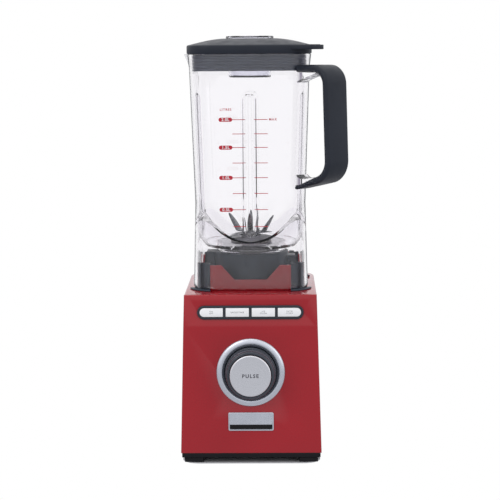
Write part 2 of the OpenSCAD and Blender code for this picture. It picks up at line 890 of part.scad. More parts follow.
// Plain block inside the outer walls, used to trim what is added inside or outside them
module jug_body_core() {
    for (turn = [0, 90]) rotate(turn) rotate([90, 0, 0])
        translate([0, 0, -waist_w + corner_r]) linear_extrude(2 * (waist_w - corner_r))
            polygon([[-waist_w + 1, floor_z + 1], [waist_w - 1, floor_z + 1],
                [waist_w - 1, waist_z], [mouth_w - 1, wall_top_z], [-mouth_w + 1, wall_top_z],
                [-waist_w + 1, waist_z]]);
    for (x = [-1, 1], y = [-1, 1]) translate([x * (waist_w - corner_r), y * (waist_w - corner_r), 0])
        disc(corner_r - 1, floor_z + 1, wall_top_z);
}

module handle_grip() {
    color([0.20, 0.21, 0.25]) difference() {
        in_handle_plane(grip_w) handle_outline();
        square_taper(waist_z, waist_w + slack, corner_r + slack, wall_top_z,
            mouth_w + slack, corner_r + slack);
        square_taper(wall_top_z - 0.1, mouth_w + slack, corner_r + slack, rim_z,
            mouth_w + rim_flare + slack, corner_r + rim_flare + slack);
    }
}

// ---------- blade unit ----------

module blade_housing() {
    top = blade_z - 1;
    color([0.72, 0.73, 0.75]) difference() {
        union() {
            disc(24, flange_z, flange_z + 1.8);
            disc(12, flange_z, top);
            disc(blade_bore - slack, floor_z - nut_h - 0.5, flange_z + 0.1);
        }
        disc(spindle_r + 1, floor_z - 20, top + over);
        disc(blade_bearing_r + slack / 2, floor_z - 20, floor_z + 3);
        disc(blade_bearing_r + slack / 2, top - 4, top + over);
    }
}

module blade_bearings() {
    top = blade_z - 1;
    color([0.82, 0.83, 0.85]) {
        ring(spindle_r + running, blade_bearing_r, floor_z - 3.5, floor_z + 2.98);
        ring(spindle_r + running, blade_bearing_r, top - 3.98, top - 1.2);
    }
}

module shaft_seal() {
    color([0.10, 0.10, 0.11])
        ring(spindle_r + running, blade_bearing_r, blade_z - 2.15, blade_z - 1.05);
}

module housing_gasket() {
    color([0.85, 0.85, 0.83]) ring(blade_bore + slack, 23.5, inner_floor + 0.02, flange_z - 0.02);
}

module retaining_nut() {
    notches = 6;
    color([0.24, 0.25, 0.28]) difference() {
        ring(blade_bore, nut_r, floor_z - nut_h, floor_z - 0.02);
        for (i = [0:notches - 1]) rotate(i * 360 / notches) translate([nut_r, 0, 0])
            block(6, 6, floor_z - nut_h - over, floor_z + over);
    }
}

// Leaf-shaped blade arm that leaves the hub flat, then turns up or down by tilt
module blade_arm(flat, length, width, tilt) {
    stub = 3;
    bend = [flat, 0];
    along = [cos(tilt), sin(tilt)];
    across = [-sin(tilt), cos(tilt)] * blade_t;
    translate([0, width / 2, 0]) rotate([90, 0, 0]) linear_extrude(width)
        polygon([[0, 0], bend, bend + stub * along, bend + stub * along + across,
            [flat - blade_t * tan(tilt / 2), blade_t], [0, blade_t]]);
    translate([flat, 0, 0]) rotate([0, -tilt, 0]) translate([0, 0, 0.1])
        linear_extrude(blade_t - 0.2)
            polygon([[stub - 1, 0.2 - width / 2], [length * 0.55, -width / 2 - 0.6],
                [length, width * 0.1], [length * 0.93, width * 0.38], [length * 0.5, width / 2],
                [stub - 1, width / 2 - 0.2]]);
}

module blade_pair(z, heading, flat, length, width, tilt) {
    color([0.55, 0.55, 0.57]) translate([0, 0, z]) rotate(heading) difference() {
        union() {
            disc(10, 0, blade_pitch - 0.02);
            for (turn = [0, 180]) rotate(turn) blade_arm(flat, length, width, tilt);
        }
        disc(spindle_r + slack, -over, blade_pitch + over);
    }
}

module blade_upper() { blade_pair(blade_z + 2 * blade_pitch, 83, 13, 25, 9, 68); }
module blade_middle() { blade_pair(blade_z + blade_pitch, -30, 17, 24, 10, 58); }
module blade_lower() { blade_pair(blade_z, 35, 18, 13, 11, -8); }

module blade_spindle() {
    color([0.80, 0.81, 0.83]) {
        disc(spindle_r, cup_z + cup_h - 7, blade_top + 4.5);
        disc(6, blade_z - 1, blade_z - 0.02);
    }
}

blade_pitch = blade_t + 0.35;   // from one blade to the next
blade_top = blade_z + 3 * blade_pitch;

module blade_nut() {
    color([0.75, 0.76, 0.78]) difference() {
        union() {
            translate([0, 0, blade_top]) cylinder(r = 7, h = 4, $fn = 6);
            translate([0, 0, blade_top + 3.9]) cylinder(r1 = 5.6, r2 = 3, h = 2.6);
        }
        disc(spindle_r + slack, blade_top - over, blade_top + 4.6);
    }
}

module driven_coupling() {
    color([0.14, 0.14, 0.15]) difference() {
        disc(cup_r, cup_z, cup_z + cup_h);
        star(star_r, mesh_gap, cup_z - over, star_z + star_h + 1.5);
        disc(spindle_r + slack, cup_z + cup_h - 7.1, cup_z + cup_h + over);
    }
}

// ---------- lid ----------

module lid_cover() {
    plug_w = seal_w - 3;
    color([0.20, 0.21, 0.24]) difference() {
        union() {
            translate([0, 0, lid_z]) linear_extrude(lid_edge)
                rounded_square(lid_w, corner_r + rim_flare);
            square_taper(lid_z + lid_edge - 0.01, lid_w - 0.8, corner_r + rim_flare, lid_top,
                crown_w, crown_w - 6);
            rotate(-45) translate([0, 0, lid_z + lid_edge - 5.4]) linear_extrude(5.4)
                polygon([[60, -24], [tab_reach - 5, -12], [tab_reach, -8], [tab_reach, 8],
                    [tab_reach - 5, 12], [60, 24]]);
            translate([0, 0, lid_z - seal_h + 2]) linear_extrude(seal_h)
                rounded_square(plug_w, corner_r - jug_t - 4);
        }
        difference() {
            translate([0, 0, lid_z - seal_h]) linear_extrude(seal_h + lid_edge - 2.6)
                rounded_square(plug_w - 2.2, corner_r - jug_t - 6);
            disc(filler_r + 2.4, lid_z - seal_h, lid_top);
        }
        disc(filler_r, lid_z - seal_h - over, lid_top + over);
    }
}

seal_w = mouth_w - jug_t - seal_gap;

// Ribbed ring around the lid's plug
module lid_seal() {
    ribs = 5;
    rib_h = (seal_h - 1) / ribs;
    inner_w = seal_w - 3 + slack;
    r = corner_r - jug_t;
    color([0.28, 0.30, 0.34]) difference() {
        union() {
            translate([0, 0, lid_z - seal_h]) linear_extrude(seal_h - slack)
                rounded_square(seal_w - 1, r - 1);
            for (i = [0:ribs - 1]) translate([0, 0, lid_z - seal_h + i * rib_h])
                linear_extrude(rib_h * 0.55) rounded_square(seal_w, r);
        }
        translate([0, 0, lid_z - seal_h - over]) linear_extrude(seal_h + 2 * over)
            rounded_square(inner_w, r - 4 + slack);
    }
}

module filler_cap() {
    low = lid_top + rest_gap - cap_depth;
    r = filler_r - play;
    color([0.80, 0.80, 0.92, 0.5]) difference() {
        union() {
            disc(r, low, lid_top + 1);
            disc(filler_r + 2.8, lid_top + rest_gap, lid_top + rest_gap + cap_flange);
        }
        disc(r - cap_wall, low + cap_wall, lid_top + 20);
    }
}

base_housing();
drive_plinth();
front_panel();
base_plate();
rubber_feet();
base_screws();
button_bezel();
dial_ring();
badge_plate();
button_board();
button_switches();
dial_board();
dial_encoder();
pulse_switch();
motor_stator();
field_coils();
motor_top_bracket();
motor_low_bracket();
motor_bearings();
brush_holders();
motor_mounts();
fan_shroud();
jug_seat();
seat_pads();
cord_gland();
rotor_shaft();
rotor_core();
commutator();
cooling_fan();
drive_coupling();
dial_knob();
dial_shaft();
pulse_button();
button_1();
button_2();
button_3();
button_4();
jug_vessel();
jug_skirt();
handle_grip();
blade_housing();
blade_bearings();
shaft_seal();
housing_gasket();
retaining_nut();
blade_upper();
blade_middle();
blade_lower();
blade_spindle();
blade_nut();
driven_coupling();
lid_cover();
lid_seal();
filler_cap();
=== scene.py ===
"""Finishes the countertop blender: a visible skin, fine pieces and materials for every CAD node."""
import json
import math

import bmesh
import bpy
from mathutils import Matrix, Vector

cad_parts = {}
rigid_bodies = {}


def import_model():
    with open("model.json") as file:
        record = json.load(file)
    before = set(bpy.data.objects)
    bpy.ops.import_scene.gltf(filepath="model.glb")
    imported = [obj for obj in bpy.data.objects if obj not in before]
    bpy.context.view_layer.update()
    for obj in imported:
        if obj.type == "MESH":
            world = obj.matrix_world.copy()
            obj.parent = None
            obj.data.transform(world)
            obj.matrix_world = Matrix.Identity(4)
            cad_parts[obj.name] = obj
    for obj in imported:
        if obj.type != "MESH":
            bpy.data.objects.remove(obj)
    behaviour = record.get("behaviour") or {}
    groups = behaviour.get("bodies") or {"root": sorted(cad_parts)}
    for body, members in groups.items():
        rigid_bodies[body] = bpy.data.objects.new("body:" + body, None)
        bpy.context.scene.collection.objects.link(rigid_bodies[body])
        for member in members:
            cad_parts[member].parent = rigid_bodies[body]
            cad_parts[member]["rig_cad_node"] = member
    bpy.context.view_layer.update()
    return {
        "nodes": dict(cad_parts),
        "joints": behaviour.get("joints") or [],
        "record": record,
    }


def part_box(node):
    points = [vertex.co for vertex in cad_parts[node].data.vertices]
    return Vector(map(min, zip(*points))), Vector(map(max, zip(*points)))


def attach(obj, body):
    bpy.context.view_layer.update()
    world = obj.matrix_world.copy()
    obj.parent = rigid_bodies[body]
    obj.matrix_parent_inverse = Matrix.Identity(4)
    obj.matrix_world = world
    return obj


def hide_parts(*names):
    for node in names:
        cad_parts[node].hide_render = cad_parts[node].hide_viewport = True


bl_info = {
    "name": "Countertop blender finish",
    "version": (1, 0, 0),
    "blender": (4, 5, 0),
    "location": "3D View > Sidebar > Blender jug",
    "description": "Builds the shell, controls, jug, lid and blades of a countertop blender",
    "category": "Add Mesh",
}

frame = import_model()
MM = 0.001

# Heights and reaches that the frame gives
SHELL_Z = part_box("front_panel")[0].z
DECK_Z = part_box("front_panel")[1].z
SHELL_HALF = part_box("front_panel")[1].x
FRONT_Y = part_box("base_plate")[0].y - 1.2 * MM
JUG_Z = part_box("jug_skirt")[0].z
RIM_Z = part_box("jug_vessel")[1].z
FLOOR_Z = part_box("housing_gasket")[0].z - 5.02 * MM
LID_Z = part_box("lid_seal")[1].z + 0.1 * MM
CAP_LOW, CAP_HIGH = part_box("filler_cap")
GRIP_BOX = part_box("handle_grip")


def size(name, text, value, unit="LENGTH"):
    """A size property in metres, or an angle in radians."""
    return bpy.props.FloatProperty(name=name, description=text, default=value, unit=unit)


def colour(name, text, value):
    return bpy.props.FloatVectorProperty(
        name=name, description=text, default=value, subtype="COLOR", size=3, min=0.0, max=1.0
    )


# ---------- sizes and colours that a user would change ----------


class BaseSizes(bpy.types.PropertyGroup):
    """Sizes of the motor base's skin"""

    side_lean: size("Side lean", "Inward lean of each side over the shell", 5 * MM)
    front_lean: size("Front lean", "Lean of the lower front facet", 5 * MM)
    brow_lean: size("Brow lean", "Lean of the upper front facet", 3.5 * MM)
    brow_height: size("Brow height", "Height of the upper front facet", 36 * MM)
    panel: size("Panel", "Least thickness of the front panel", 3.5 * MM)
    edge: size("Edge", "Radius of the shell's upper edge", 2.2 * MM)


class ControlSizes(bpy.types.PropertyGroup):
    """Sizes of the dial, its ring and the push buttons"""

    ring: size("Ring", "Outer radius of the silver ring", 39 * MM)
    knob: size("Knob", "Radius of the knob at its foot", 29 * MM)
    row_drop: size("Row drop", "Depth of the row of buttons below the flat top", 19.7 * MM)
    knob_height: size("Knob height", "Height of the knob over the panel", 22 * MM)
    cap: size("Pulse cap", "Radius of the pulse button", 23.2 * MM)
    button_pitch: size("Button pitch", "Spacing of the push buttons", 29.4 * MM)
    badge_width: size("Badge width", "Width of the blank badge", 51.4 * MM)
    badge_height: size("Badge height", "Height of the blank badge", 21 * MM)


class JugSizes(bpy.types.PropertyGroup):
    """Sizes of the clear jug"""

    skirt: size("Skirt", "Half-width of the skirt at its lower edge", 66 * MM)
    waist: size("Waist", "Half-width at the waist", 63.5 * MM)
    mouth: size("Mouth", "Half-width below the rim", 68.7 * MM)
    flare: size("Rim flare", "Outward flare of the rim", 2.0 * MM)
    wall: size("Wall", "Wall of the jug", 3 * MM)
    corner: size("Corner", "Radius of the vertical corners", 27 * MM)
    waist_height: size("Waist height", "Height of the waist over the lower edge", 97 * MM)
    bowl: size("Bowl", "Radius of the round bowl", 80.5 * MM)
    bowl_floor: size("Bowl floor", "Outer radius of the bowl's flat floor", 53.7 * MM)
    floor: size("Floor", "Thickness of the bowl's floor", 5 * MM)
    flute: size("Flute", "Radius of the inward flutes", 6.6 * MM)
    spout: size("Spout", "Reach of the pouring lip", 110 * MM)
    bore: size("Bore", "Radius of the hole for the blade unit", 17 * MM)
    collar: size("Collar", "Outer radius of the collar under the floor", 40 * MM)


class GripSizes(bpy.types.PropertyGroup):
    """Sizes of the grip and its clear roots"""

    width: size("Width", "Width of the strap", 34 * MM)
    thickness: size("Thickness", "Thickness of the strap", 8.2 * MM)
    reach: size("Reach", "Reach of the outer face from the jug's axis", 141.6 * MM)
    bend: size("Bend", "Outer radius of the upper bend", 22 * MM)
    foot_bend: size("Foot bend", "Outer radius of the lower bend", 27 * MM)
    foot_angle: size("Foot angle", "Turn of the lower bend", math.radians(72), "ROTATION")
    edge: size("Edge", "Radius of the strap's edges", 3.4 * MM)
    end_width: size("End width", "Width of the strap where it meets its clear roots", 20 * MM)
    end_reach: size("End reach", "Reach at which the strap is at its end width", 82 * MM)
    stand_off: size("Stand-off", "Gap between the wall and the strap's lower end", 5 * MM)


class LidSizes(bpy.types.PropertyGroup):
    """Sizes of the lid, its seal and the filler cap"""

    edge: size("Edge", "Height of the upright edge", 10 * MM)
    rise: size("Rise", "Rise of the dome over the edge", 7.6 * MM)
    hole: size("Hole", "Radius of the filler hole", 25 * MM)
    seal: size("Seal", "Depth of the ribbed seal", 19 * MM)
    tab: size("Tab", "Reach of the lifting tab", 110.4 * MM)
    cap_wall: size("Cap wall", "Wall of the filler cap", 2.2 * MM)


class Colours(bpy.types.PropertyGroup):
    """Colours of the finishes"""

    red: colour("Red", "Gloss shell", (0.36, 0.008, 0.016))
    charcoal: colour("Charcoal", "Lid, grip and surround of the buttons", (0.013, 0.017, 0.027))
    black: colour("Black", "Bottom plate, couplings and bar of the badge", (0.004, 0.004, 0.006))
    silver: colour("Silver", "Dial ring and badge", (0.66, 0.69, 0.76))
    cap: colour("Cap", "Brushed pulse cap", (0.76, 0.77, 0.81))
    button: colour("Button", "Pearl push buttons", (0.90, 0.90, 0.92))
    mark: colour("Mark", "Printed litre marks", (0.50, 0.012, 0.03))
    clear: colour("Clear", "Tint of the clear jug", (0.975, 0.968, 0.985))
    seat: colour("Seat", "Seat of the jug and its corner posts", (0.034, 0.046, 0.064))
    collar: colour("Collar", "Lock nut and blade base under the jug", (0.24, 0.23, 0.27))
    clear_cap: colour("Clear cap", "Tint of the filler cap", (0.90, 0.90, 0.96))
    steel: colour("Steel", "Blades and spindle", (0.17, 0.175, 0.19))
    seal: colour("Seal", "Ribbed lid seal", (0.095, 0.110, 0.145))


def sizes(name):
    return getattr(bpy.context.scene, "maker_" + name)


# ---------- outlines of the base ----------


def share(z):
    return (z - SHELL_Z) / (DECK_Z - SHELL_Z)


def half_width(z):
    return SHELL_HALF - sizes("base").side_lean * share(z)


def seam_z():
    return DECK_Z - sizes("base").brow_height


def front_y(z):
    b = sizes("base")
    if z < seam_z():
        return FRONT_Y + b.front_lean * (z - SHELL_Z) / (seam_z() - SHELL_Z)
    return FRONT_Y + b.front_lean + b.brow_lean * (z - seam_z()) / b.brow_height


def panel_y(z):
    b = sizes("base")
    return FRONT_Y + b.panel + (b.front_lean + b.brow_lean) * share(z)


def on_front(z, x=0.0):
    """Matrix of the front face at height z: local Z outwards, local Y up the face"""
    b = sizes("base")
    if z < seam_z():
        lean = math.atan(b.front_lean / (seam_z() - SHELL_Z))
    else:
        lean = math.atan(b.brow_lean / b.brow_height)
    turn = Matrix.Rotation(math.pi / 2 - lean, 4, "X")
    return Matrix.Translation((x, front_y(z), z)) @ turn


# ---------- outlines of the jug ----------


def jug_half(z):
    j = sizes("jug")
    waist_z = JUG_Z + j.waist_height
    if z < waist_z:
        return j.skirt + (j.waist - j.skirt) * (z - JUG_Z) / j.waist_height
    return j.waist + (j.mouth - j.waist) * min(1.0, (z - waist_z) / (wall_top_z() - waist_z))


def wall_top_z():
    return RIM_Z - 16 * MM


def jug_inner_half(z):
    j = sizes("jug")
    low = j.waist - j.wall - 1 * MM
    high = j.mouth + 0.6 * MM - j.wall
    start = FLOOR_Z + j.floor
    return low + (high - low) * (z - start) / (RIM_Z + 1 * MM - start)


def bowl_centre_z():
    j = sizes("jug")
    return FLOOR_Z + math.sqrt(j.bowl**2 - j.bowl_floor**2)


def on_jug_front(x, z):
    """Matrix of the jug's front face: local X right, local Y up the face, local Z outwards"""
    j = sizes("jug")
    rise = wall_top_z() - JUG_Z - j.waist_height
    lean = math.atan((j.mouth - j.waist) / rise) if z > JUG_Z + j.waist_height else 0.0
    turn = Matrix.Rotation(math.pi / 2 + lean, 4, "X")
    return Matrix.Translation((x, -jug_half(z), z)) @ turn


def smooth_step(t):
    t = min(1.0, max(0.0, t))
    return t * t * (3 - 2 * t)


FLUTE_END = (42 * MM, 26 * MM)  # depths below the wall's top between which a flute runs out
FLUTE_ZONE = 12 * MM
FLUTE_STEPS = 24
SIDE_STEPS = 6
CORNER_STEPS = 16


def side_places(flat):
    """Places along one straight side, closer together where the flute runs"""
    zone = min(FLUTE_ZONE, flat * 0.6)
    left = [-flat + (flat - zone) * i / SIDE_STEPS for i in range(SIDE_STEPS)]
    middle = [-zone + 2 * zone * i / FLUTE_STEPS for i in range(FLUTE_STEPS)]
    return left + middle + [zone + (flat - zone) * i / SIDE_STEPS for i in range(SIDE_STEPS + 1)]


def square_ring(half, radius, z, dent=None):
    """Ring of points on a rounded square; dent(place, z) pushes the sides in"""
    points = []
    flat = half - radius
    for side in range(4):
        turn = Matrix.Rotation(side * math.pi / 2, 3, "Z")
        for place in side_places(flat):
            push = dent(place, z) if dent else 0.0
            points.append(turn @ Vector((place, -half + push, z)))
        for step in range(1, CORNER_STEPS):
            angle = -math.pi / 2 + step * math.pi / 2 / CORNER_STEPS
            points.append(
                turn
                @ Vector((flat + radius * math.cos(angle), -flat + radius * math.sin(angle), z))
            )
    return points


def round_ring(radius, z, like):
    """Ring on a circle, each point in the direction of the matching point of another ring"""
    return [Vector((*(p.to_2d().normalized() * radius), z)) for p in like]


def flute_depth(place, z, radius, sunk):
    """How far a flute of this radius, with its axis outside the face, stands into the jug"""
    j = sizes("jug")
    top = wall_top_z() - 27 * MM - j.flute
    low = FLOOR_Z + 24 * MM
    along = max(0.0, 1.6 * (z - top), low - z)
    away = math.hypot(place, along)
    depth = math.sqrt(max(0.0, radius**2 - away**2)) - sunk - 3 * max(0.0, away - radius)
    blend = 0.7 * MM
    return 0.5 * (depth + math.sqrt(depth**2 + blend**2)) - 0.5 * blend * 0.02


def outer_dent(place, z):
    return flute_depth(place, z, sizes("jug").flute, 1.8 * MM)


def inner_dent(place, z):
    wall = jug_half(z) - jug_inner_half(z)
    return flute_depth(place, z, sizes("jug").flute + 2.6 * MM, 1.8 * MM + wall)


# ---------- mesh helpers ----------


def skin(bm, rings, close=False):
    """Bends a grid onto a row of rings of equal length and sews its seams"""
    rows = rings + [rings[0]] if close else rings
    count = len(rings[0])
    grid = bmesh.ops.create_grid(bm, x_segments=count, y_segments=len(rows) - 1, size=1)
    for index, vert in enumerate(grid["verts"]):
        row, column = divmod(index, count + 1)
        vert.co = rows[row][column % count]
    bmesh.ops.remove_doubles(bm, verts=grid["verts"], dist=1e-6)


def turned(bm, profile, steps=96, matrix=None):
    """Spins a profile of (radius, height) points round the Z axis"""
    before = set(bm.verts)
    verts = [bm.verts.new((radius, 0, height)) for radius, height in profile]
    edges = [bm.edges.new(pair) for pair in zip(verts, verts[1:])]
    bmesh.ops.spin(
        bm,
        geom=verts + edges,
        cent=(0, 0, 0),
        axis=(0, 0, 1),
        angle=2 * math.pi,
        steps=steps,
        use_merge=True,
    )
    new = [v for v in bm.verts if v not in before]
    bmesh.ops.remove_doubles(bm, verts=new, dist=1e-6)
    new = [v for v in bm.verts if v not in before]
    if matrix:
        bmesh.ops.transform(bm, matrix=matrix, verts=new)
    return new


def slab(bm, width, depth, low, high, corner=0.0, edge=0.0, matrix=None, segments=8):
    """Block with round upright corners and softened upper and lower edges"""
    before = set(bm.verts)
    made = bmesh.ops.create_cube(bm, size=1)
    place = Matrix.Translation((0, 0, (low + high) / 2))
    place = place @ Matrix.Diagonal((width, depth, high - low, 1))
    bmesh.ops.transform(bm, matrix=place, verts=made["verts"])
    if corner:
        upright = [
            e
            for e in {e for v in made["verts"] for e in v.link_edges}
            if abs(e.verts[0].co.z - e.verts[1].co.z) > (high - low) / 2
        ]
        soften(bm, upright, corner, segments)
    new = [v for v in bm.verts if v not in before]
    if edge:
        rim = [
            e
            for e in {e for v in new for e in v.link_edges}
            if abs(e.verts[0].co.z - e.verts[1].co.z) < 1e-7
        ]
        soften(bm, rim, edge, 3)
        new = [v for v in bm.verts if v not in before]
    if matrix:
        bmesh.ops.transform(bm, matrix=matrix, verts=new)
    return new


def soften(bm, edges, offset, segments=3):
    bmesh.ops.bevel(
        bm,
        geom=edges,
        offset=offset,
        segments=segments,
        profile=0.5,
        affect="EDGES",
        clamp_overlap=True,
        material=-1,
    )


def sharp_edges(bm, angle):
    return [e for e in bm.edges if len(e.link_faces) == 2 and e.calc_face_angle() > angle]


def piece(name, bm, body, finish, nodes=(), angle=35, recalc=True):
    """Makes a mesh object of a bmesh, with its body, finish and the CAD nodes it stands for"""
    if recalc:
        bmesh.ops.recalc_face_normals(bm, faces=bm.faces)
    mesh = bpy.data.meshes.new(name)
    bm.to_mesh(mesh)
    bm.free()
    mesh.polygons.foreach_set("use_smooth", [True] * len(mesh.polygons))
    mesh.set_sharp_from_angle(angle=math.radians(angle))
    made = bpy.data.objects.new(name, mesh)
    bpy.context.scene.collection.objects.link(made)
    mesh.materials.append(finish)
    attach(made, body)
    if nodes:
        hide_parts(*nodes)
    return made


def lettering(text, height, matrix, bm, extrude=0.05 * MM, align="CENTER", spread=1.12, bold=0.0):
    """Adds raised letters to a bmesh, laid in the XY plane of matrix; bold thickens their strokes"""
    curve = bpy.data.curves.new("letters", "FONT")
    curve.body = text
    curve.size = height / 0.7
    curve.extrude = extrude
    curve.align_x = align
    curve.align_y = "CENTER"
    curve.resolution_u = 3
    curve.space_character = spread
    curve.offset = bold
    holder = bpy.data.objects.new("letters", curve)
    bpy.context.scene.collection.objects.link(holder)
    graph = bpy.context.evaluated_depsgraph_get()
    mesh = bpy.data.meshes.new_from_object(holder.evaluated_get(graph))
    mesh.transform(matrix)
    bm.from_mesh(mesh)
    bpy.data.objects.remove(holder)
    bpy.data.curves.remove(curve)
    bpy.data.meshes.remove(mesh)


# ---------- finishes ----------


def base_material(name, tint, roughness, **sockets):
    """Material with a Principled shader; keyword sockets use underscores for spaces"""
    made = bpy.data.materials.new(name)
    made.use_nodes = True
    shader = made.node_tree.nodes["Principled BSDF"]
    shader.inputs["Base Color"].default_value = (*tint, 1)
    shader.inputs["Roughness"].default_value = roughness
    for key, value in sockets.items():
        shader.inputs[key.replace("_", " ")].default_value = value
    return made


def noise(made, scale, detail=3.0, stretch=(1, 1, 1), turn=(0, 0, 0), centre=(0, 0, 0)):
    """Noise on object coordinates, stretched along its own axes"""
    nodes, links = made.node_tree.nodes, made.node_tree.links
    place = nodes.new("ShaderNodeTexCoord")
    mapping = nodes.new("ShaderNodeMapping")
    mapping.inputs["Scale"].default_value = stretch
    mapping.inputs["Rotation"].default_value = turn
    mapping.inputs["Location"].default_value = centre
    made_noise = nodes.new("ShaderNodeTexNoise")
    made_noise.inputs["Scale"].default_value = scale
    made_noise.inputs["Detail"].default_value = detail
    links.new(place.outputs["Object"], mapping.inputs["Vector"])
    links.new(mapping.outputs["Vector"], made_noise.inputs["Vector"])
    return made_noise.outputs["Fac"]


def ranged(made, value, low, high, at=(0.35, 0.65)):
    """Value brought to the range low..high"""
    step = made.node_tree.nodes.new("ShaderNodeMapRange")
    for key, number in zip(("From Min", "From Max", "To Min", "To Max"), (*at, low, high)):
        step.inputs[key].default_value = number
    made.node_tree.links.new(value, step.inputs["Value"])
    return step.outputs["Result"]


def vary_colour(made, value, dark, light):
    """Base colour between two tones"""
    tree = made.node_tree
    mix = tree.nodes.new("ShaderNodeMix")
    mix.data_type = "RGBA"
    mix.inputs[6].default_value = (*dark, 1)
    mix.inputs[7].default_value = (*light, 1)
    tree.links.new(ranged(made, value, 0.0, 1.0), mix.inputs[0])
    tree.links.new(mix.outputs[2], tree.nodes["Principled BSDF"].inputs["Base Color"])


def vary_roughness(made, value, low, high):
    tree = made.node_tree
    tree.links.new(
        ranged(made, value, low, high), tree.nodes["Principled BSDF"].inputs["Roughness"]
    )


def emboss(made, value, distance, strength=1.0):
    """Bump of this height in metres"""
    tree = made.node_tree
    bump = tree.nodes.new("ShaderNodeBump")
    bump.inputs["Distance"].default_value = distance
    bump.inputs["Strength"].default_value = strength
    tree.links.new(value, bump.inputs["Height"])
    tree.links.new(bump.outputs["Normal"], tree.nodes["Principled BSDF"].inputs["Normal"])


def tones(tint, spread):
    return [c * (1 - spread) for c in tint], [min(1.0, c * (1 + spread)) for c in tint]


def gloss_red():
    """Glossy moulded shell: faint orange peel, a film of dust in the lower gloss"""
    tint = sizes("colours").red
    made = base_material(
        "red_gloss", tint, 0.24, Coat_Weight=0.8, Coat_Roughness=0.05, Specular_IOR_Level=0.1
    )
    vary_colour(made, noise(made, 9, 2), *tones(tint, 0.05))
    vary_roughness(made, noise(made, 60, 4), 0.20, 0.29)
    emboss(made, noise(made, 420, 2), 0.000012)
    return made


def grained(name, tint, roughness, grain=1500, height=0.00003, spread=0.08, **sockets):
    """Spark-eroded moulded plastic"""
    made = base_material(name, tint, roughness, **sockets)
    vary_colour(made, noise(made, 22, 3), *tones(tint, spread))
    vary_roughness(made, noise(made, 90, 3), roughness - 0.05, roughness + 0.06)
    emboss(made, noise(made, grain, 4), height)
    return made


def metal(name, tint, roughness, scale=600, stretch=(1, 1, 1), height=0.000008, **sockets):
    """Metal with a directional or an even grain"""
    made = base_material(name, tint, roughness, Metallic=1.0, **sockets)
    grain = noise(made, scale, 4, stretch)
    vary_colour(made, noise(made, 30, 3), *tones(tint, 0.05))
    vary_roughness(made, grain, roughness - 0.06, roughness + 0.08)
    emboss(made, grain, height)
    return made


def spun_metal(name, tint, roughness, matrix):
    """Metal face with concentric turning lines round the axis of matrix"""
    made = base_material(name, tint, roughness, Metallic=1.0)
    tree = made.node_tree
    place = tree.nodes.new("ShaderNodeTexCoord")
    mapping = tree.nodes.new("ShaderNodeMapping")
    mapping.vector_type = "TEXTURE"
    mapping.inputs["Location"].default_value = matrix.to_translation()
    mapping.inputs["Rotation"].default_value = matrix.to_euler()
    split = tree.nodes.new("ShaderNodeSeparateXYZ")
    tree.links.new(place.outputs["Object"], mapping.inputs["Vector"])
    tree.links.new(mapping.outputs["Vector"], split.inputs["Vector"])
    squares = []
    for axis in ("X", "Y"):
        step = tree.nodes.new("ShaderNodeMath")
        step.operation = "MULTIPLY"
        tree.links.new(split.outputs[axis], step.inputs[0])
        tree.links.new(split.outputs[axis], step.inputs[1])
        squares.append(step)
    total = tree.nodes.new("ShaderNodeMath")
    total.operation = "ADD"
    root = tree.nodes.new("ShaderNodeMath")
    root.operation = "SQRT"
    lines = tree.nodes.new("ShaderNodeTexNoise")
    lines.noise_dimensions = "1D"
    lines.inputs["Scale"].default_value = 3200
    lines.inputs["Detail"].default_value = 2
    tree.links.new(squares[0].outputs[0], total.inputs[0])
    tree.links.new(squares[1].outputs[0], total.inputs[1])
    tree.links.new(total.outputs[0], root.inputs[0])
    tree.links.new(root.outputs[0], lines.inputs["W"])
    grain = lines.outputs["Fac"]
    vary_roughness(made, grain, roughness - 0.05, roughness + 0.06)
    emboss(made, grain, 0.000006)
    return made


def clear(name, tint, roughness=0.0, ripple=0.000004):
    """Clear moulded plastic with the faint flow ripple of thick walls"""
    made = base_material(name, tint, roughness, Transmission_Weight=1.0, IOR=1.46)
    vary_roughness(made, noise(made, 45, 3), roughness, roughness + 0.004)
    emboss(made, noise(made, 55, 2), ripple)
    return made


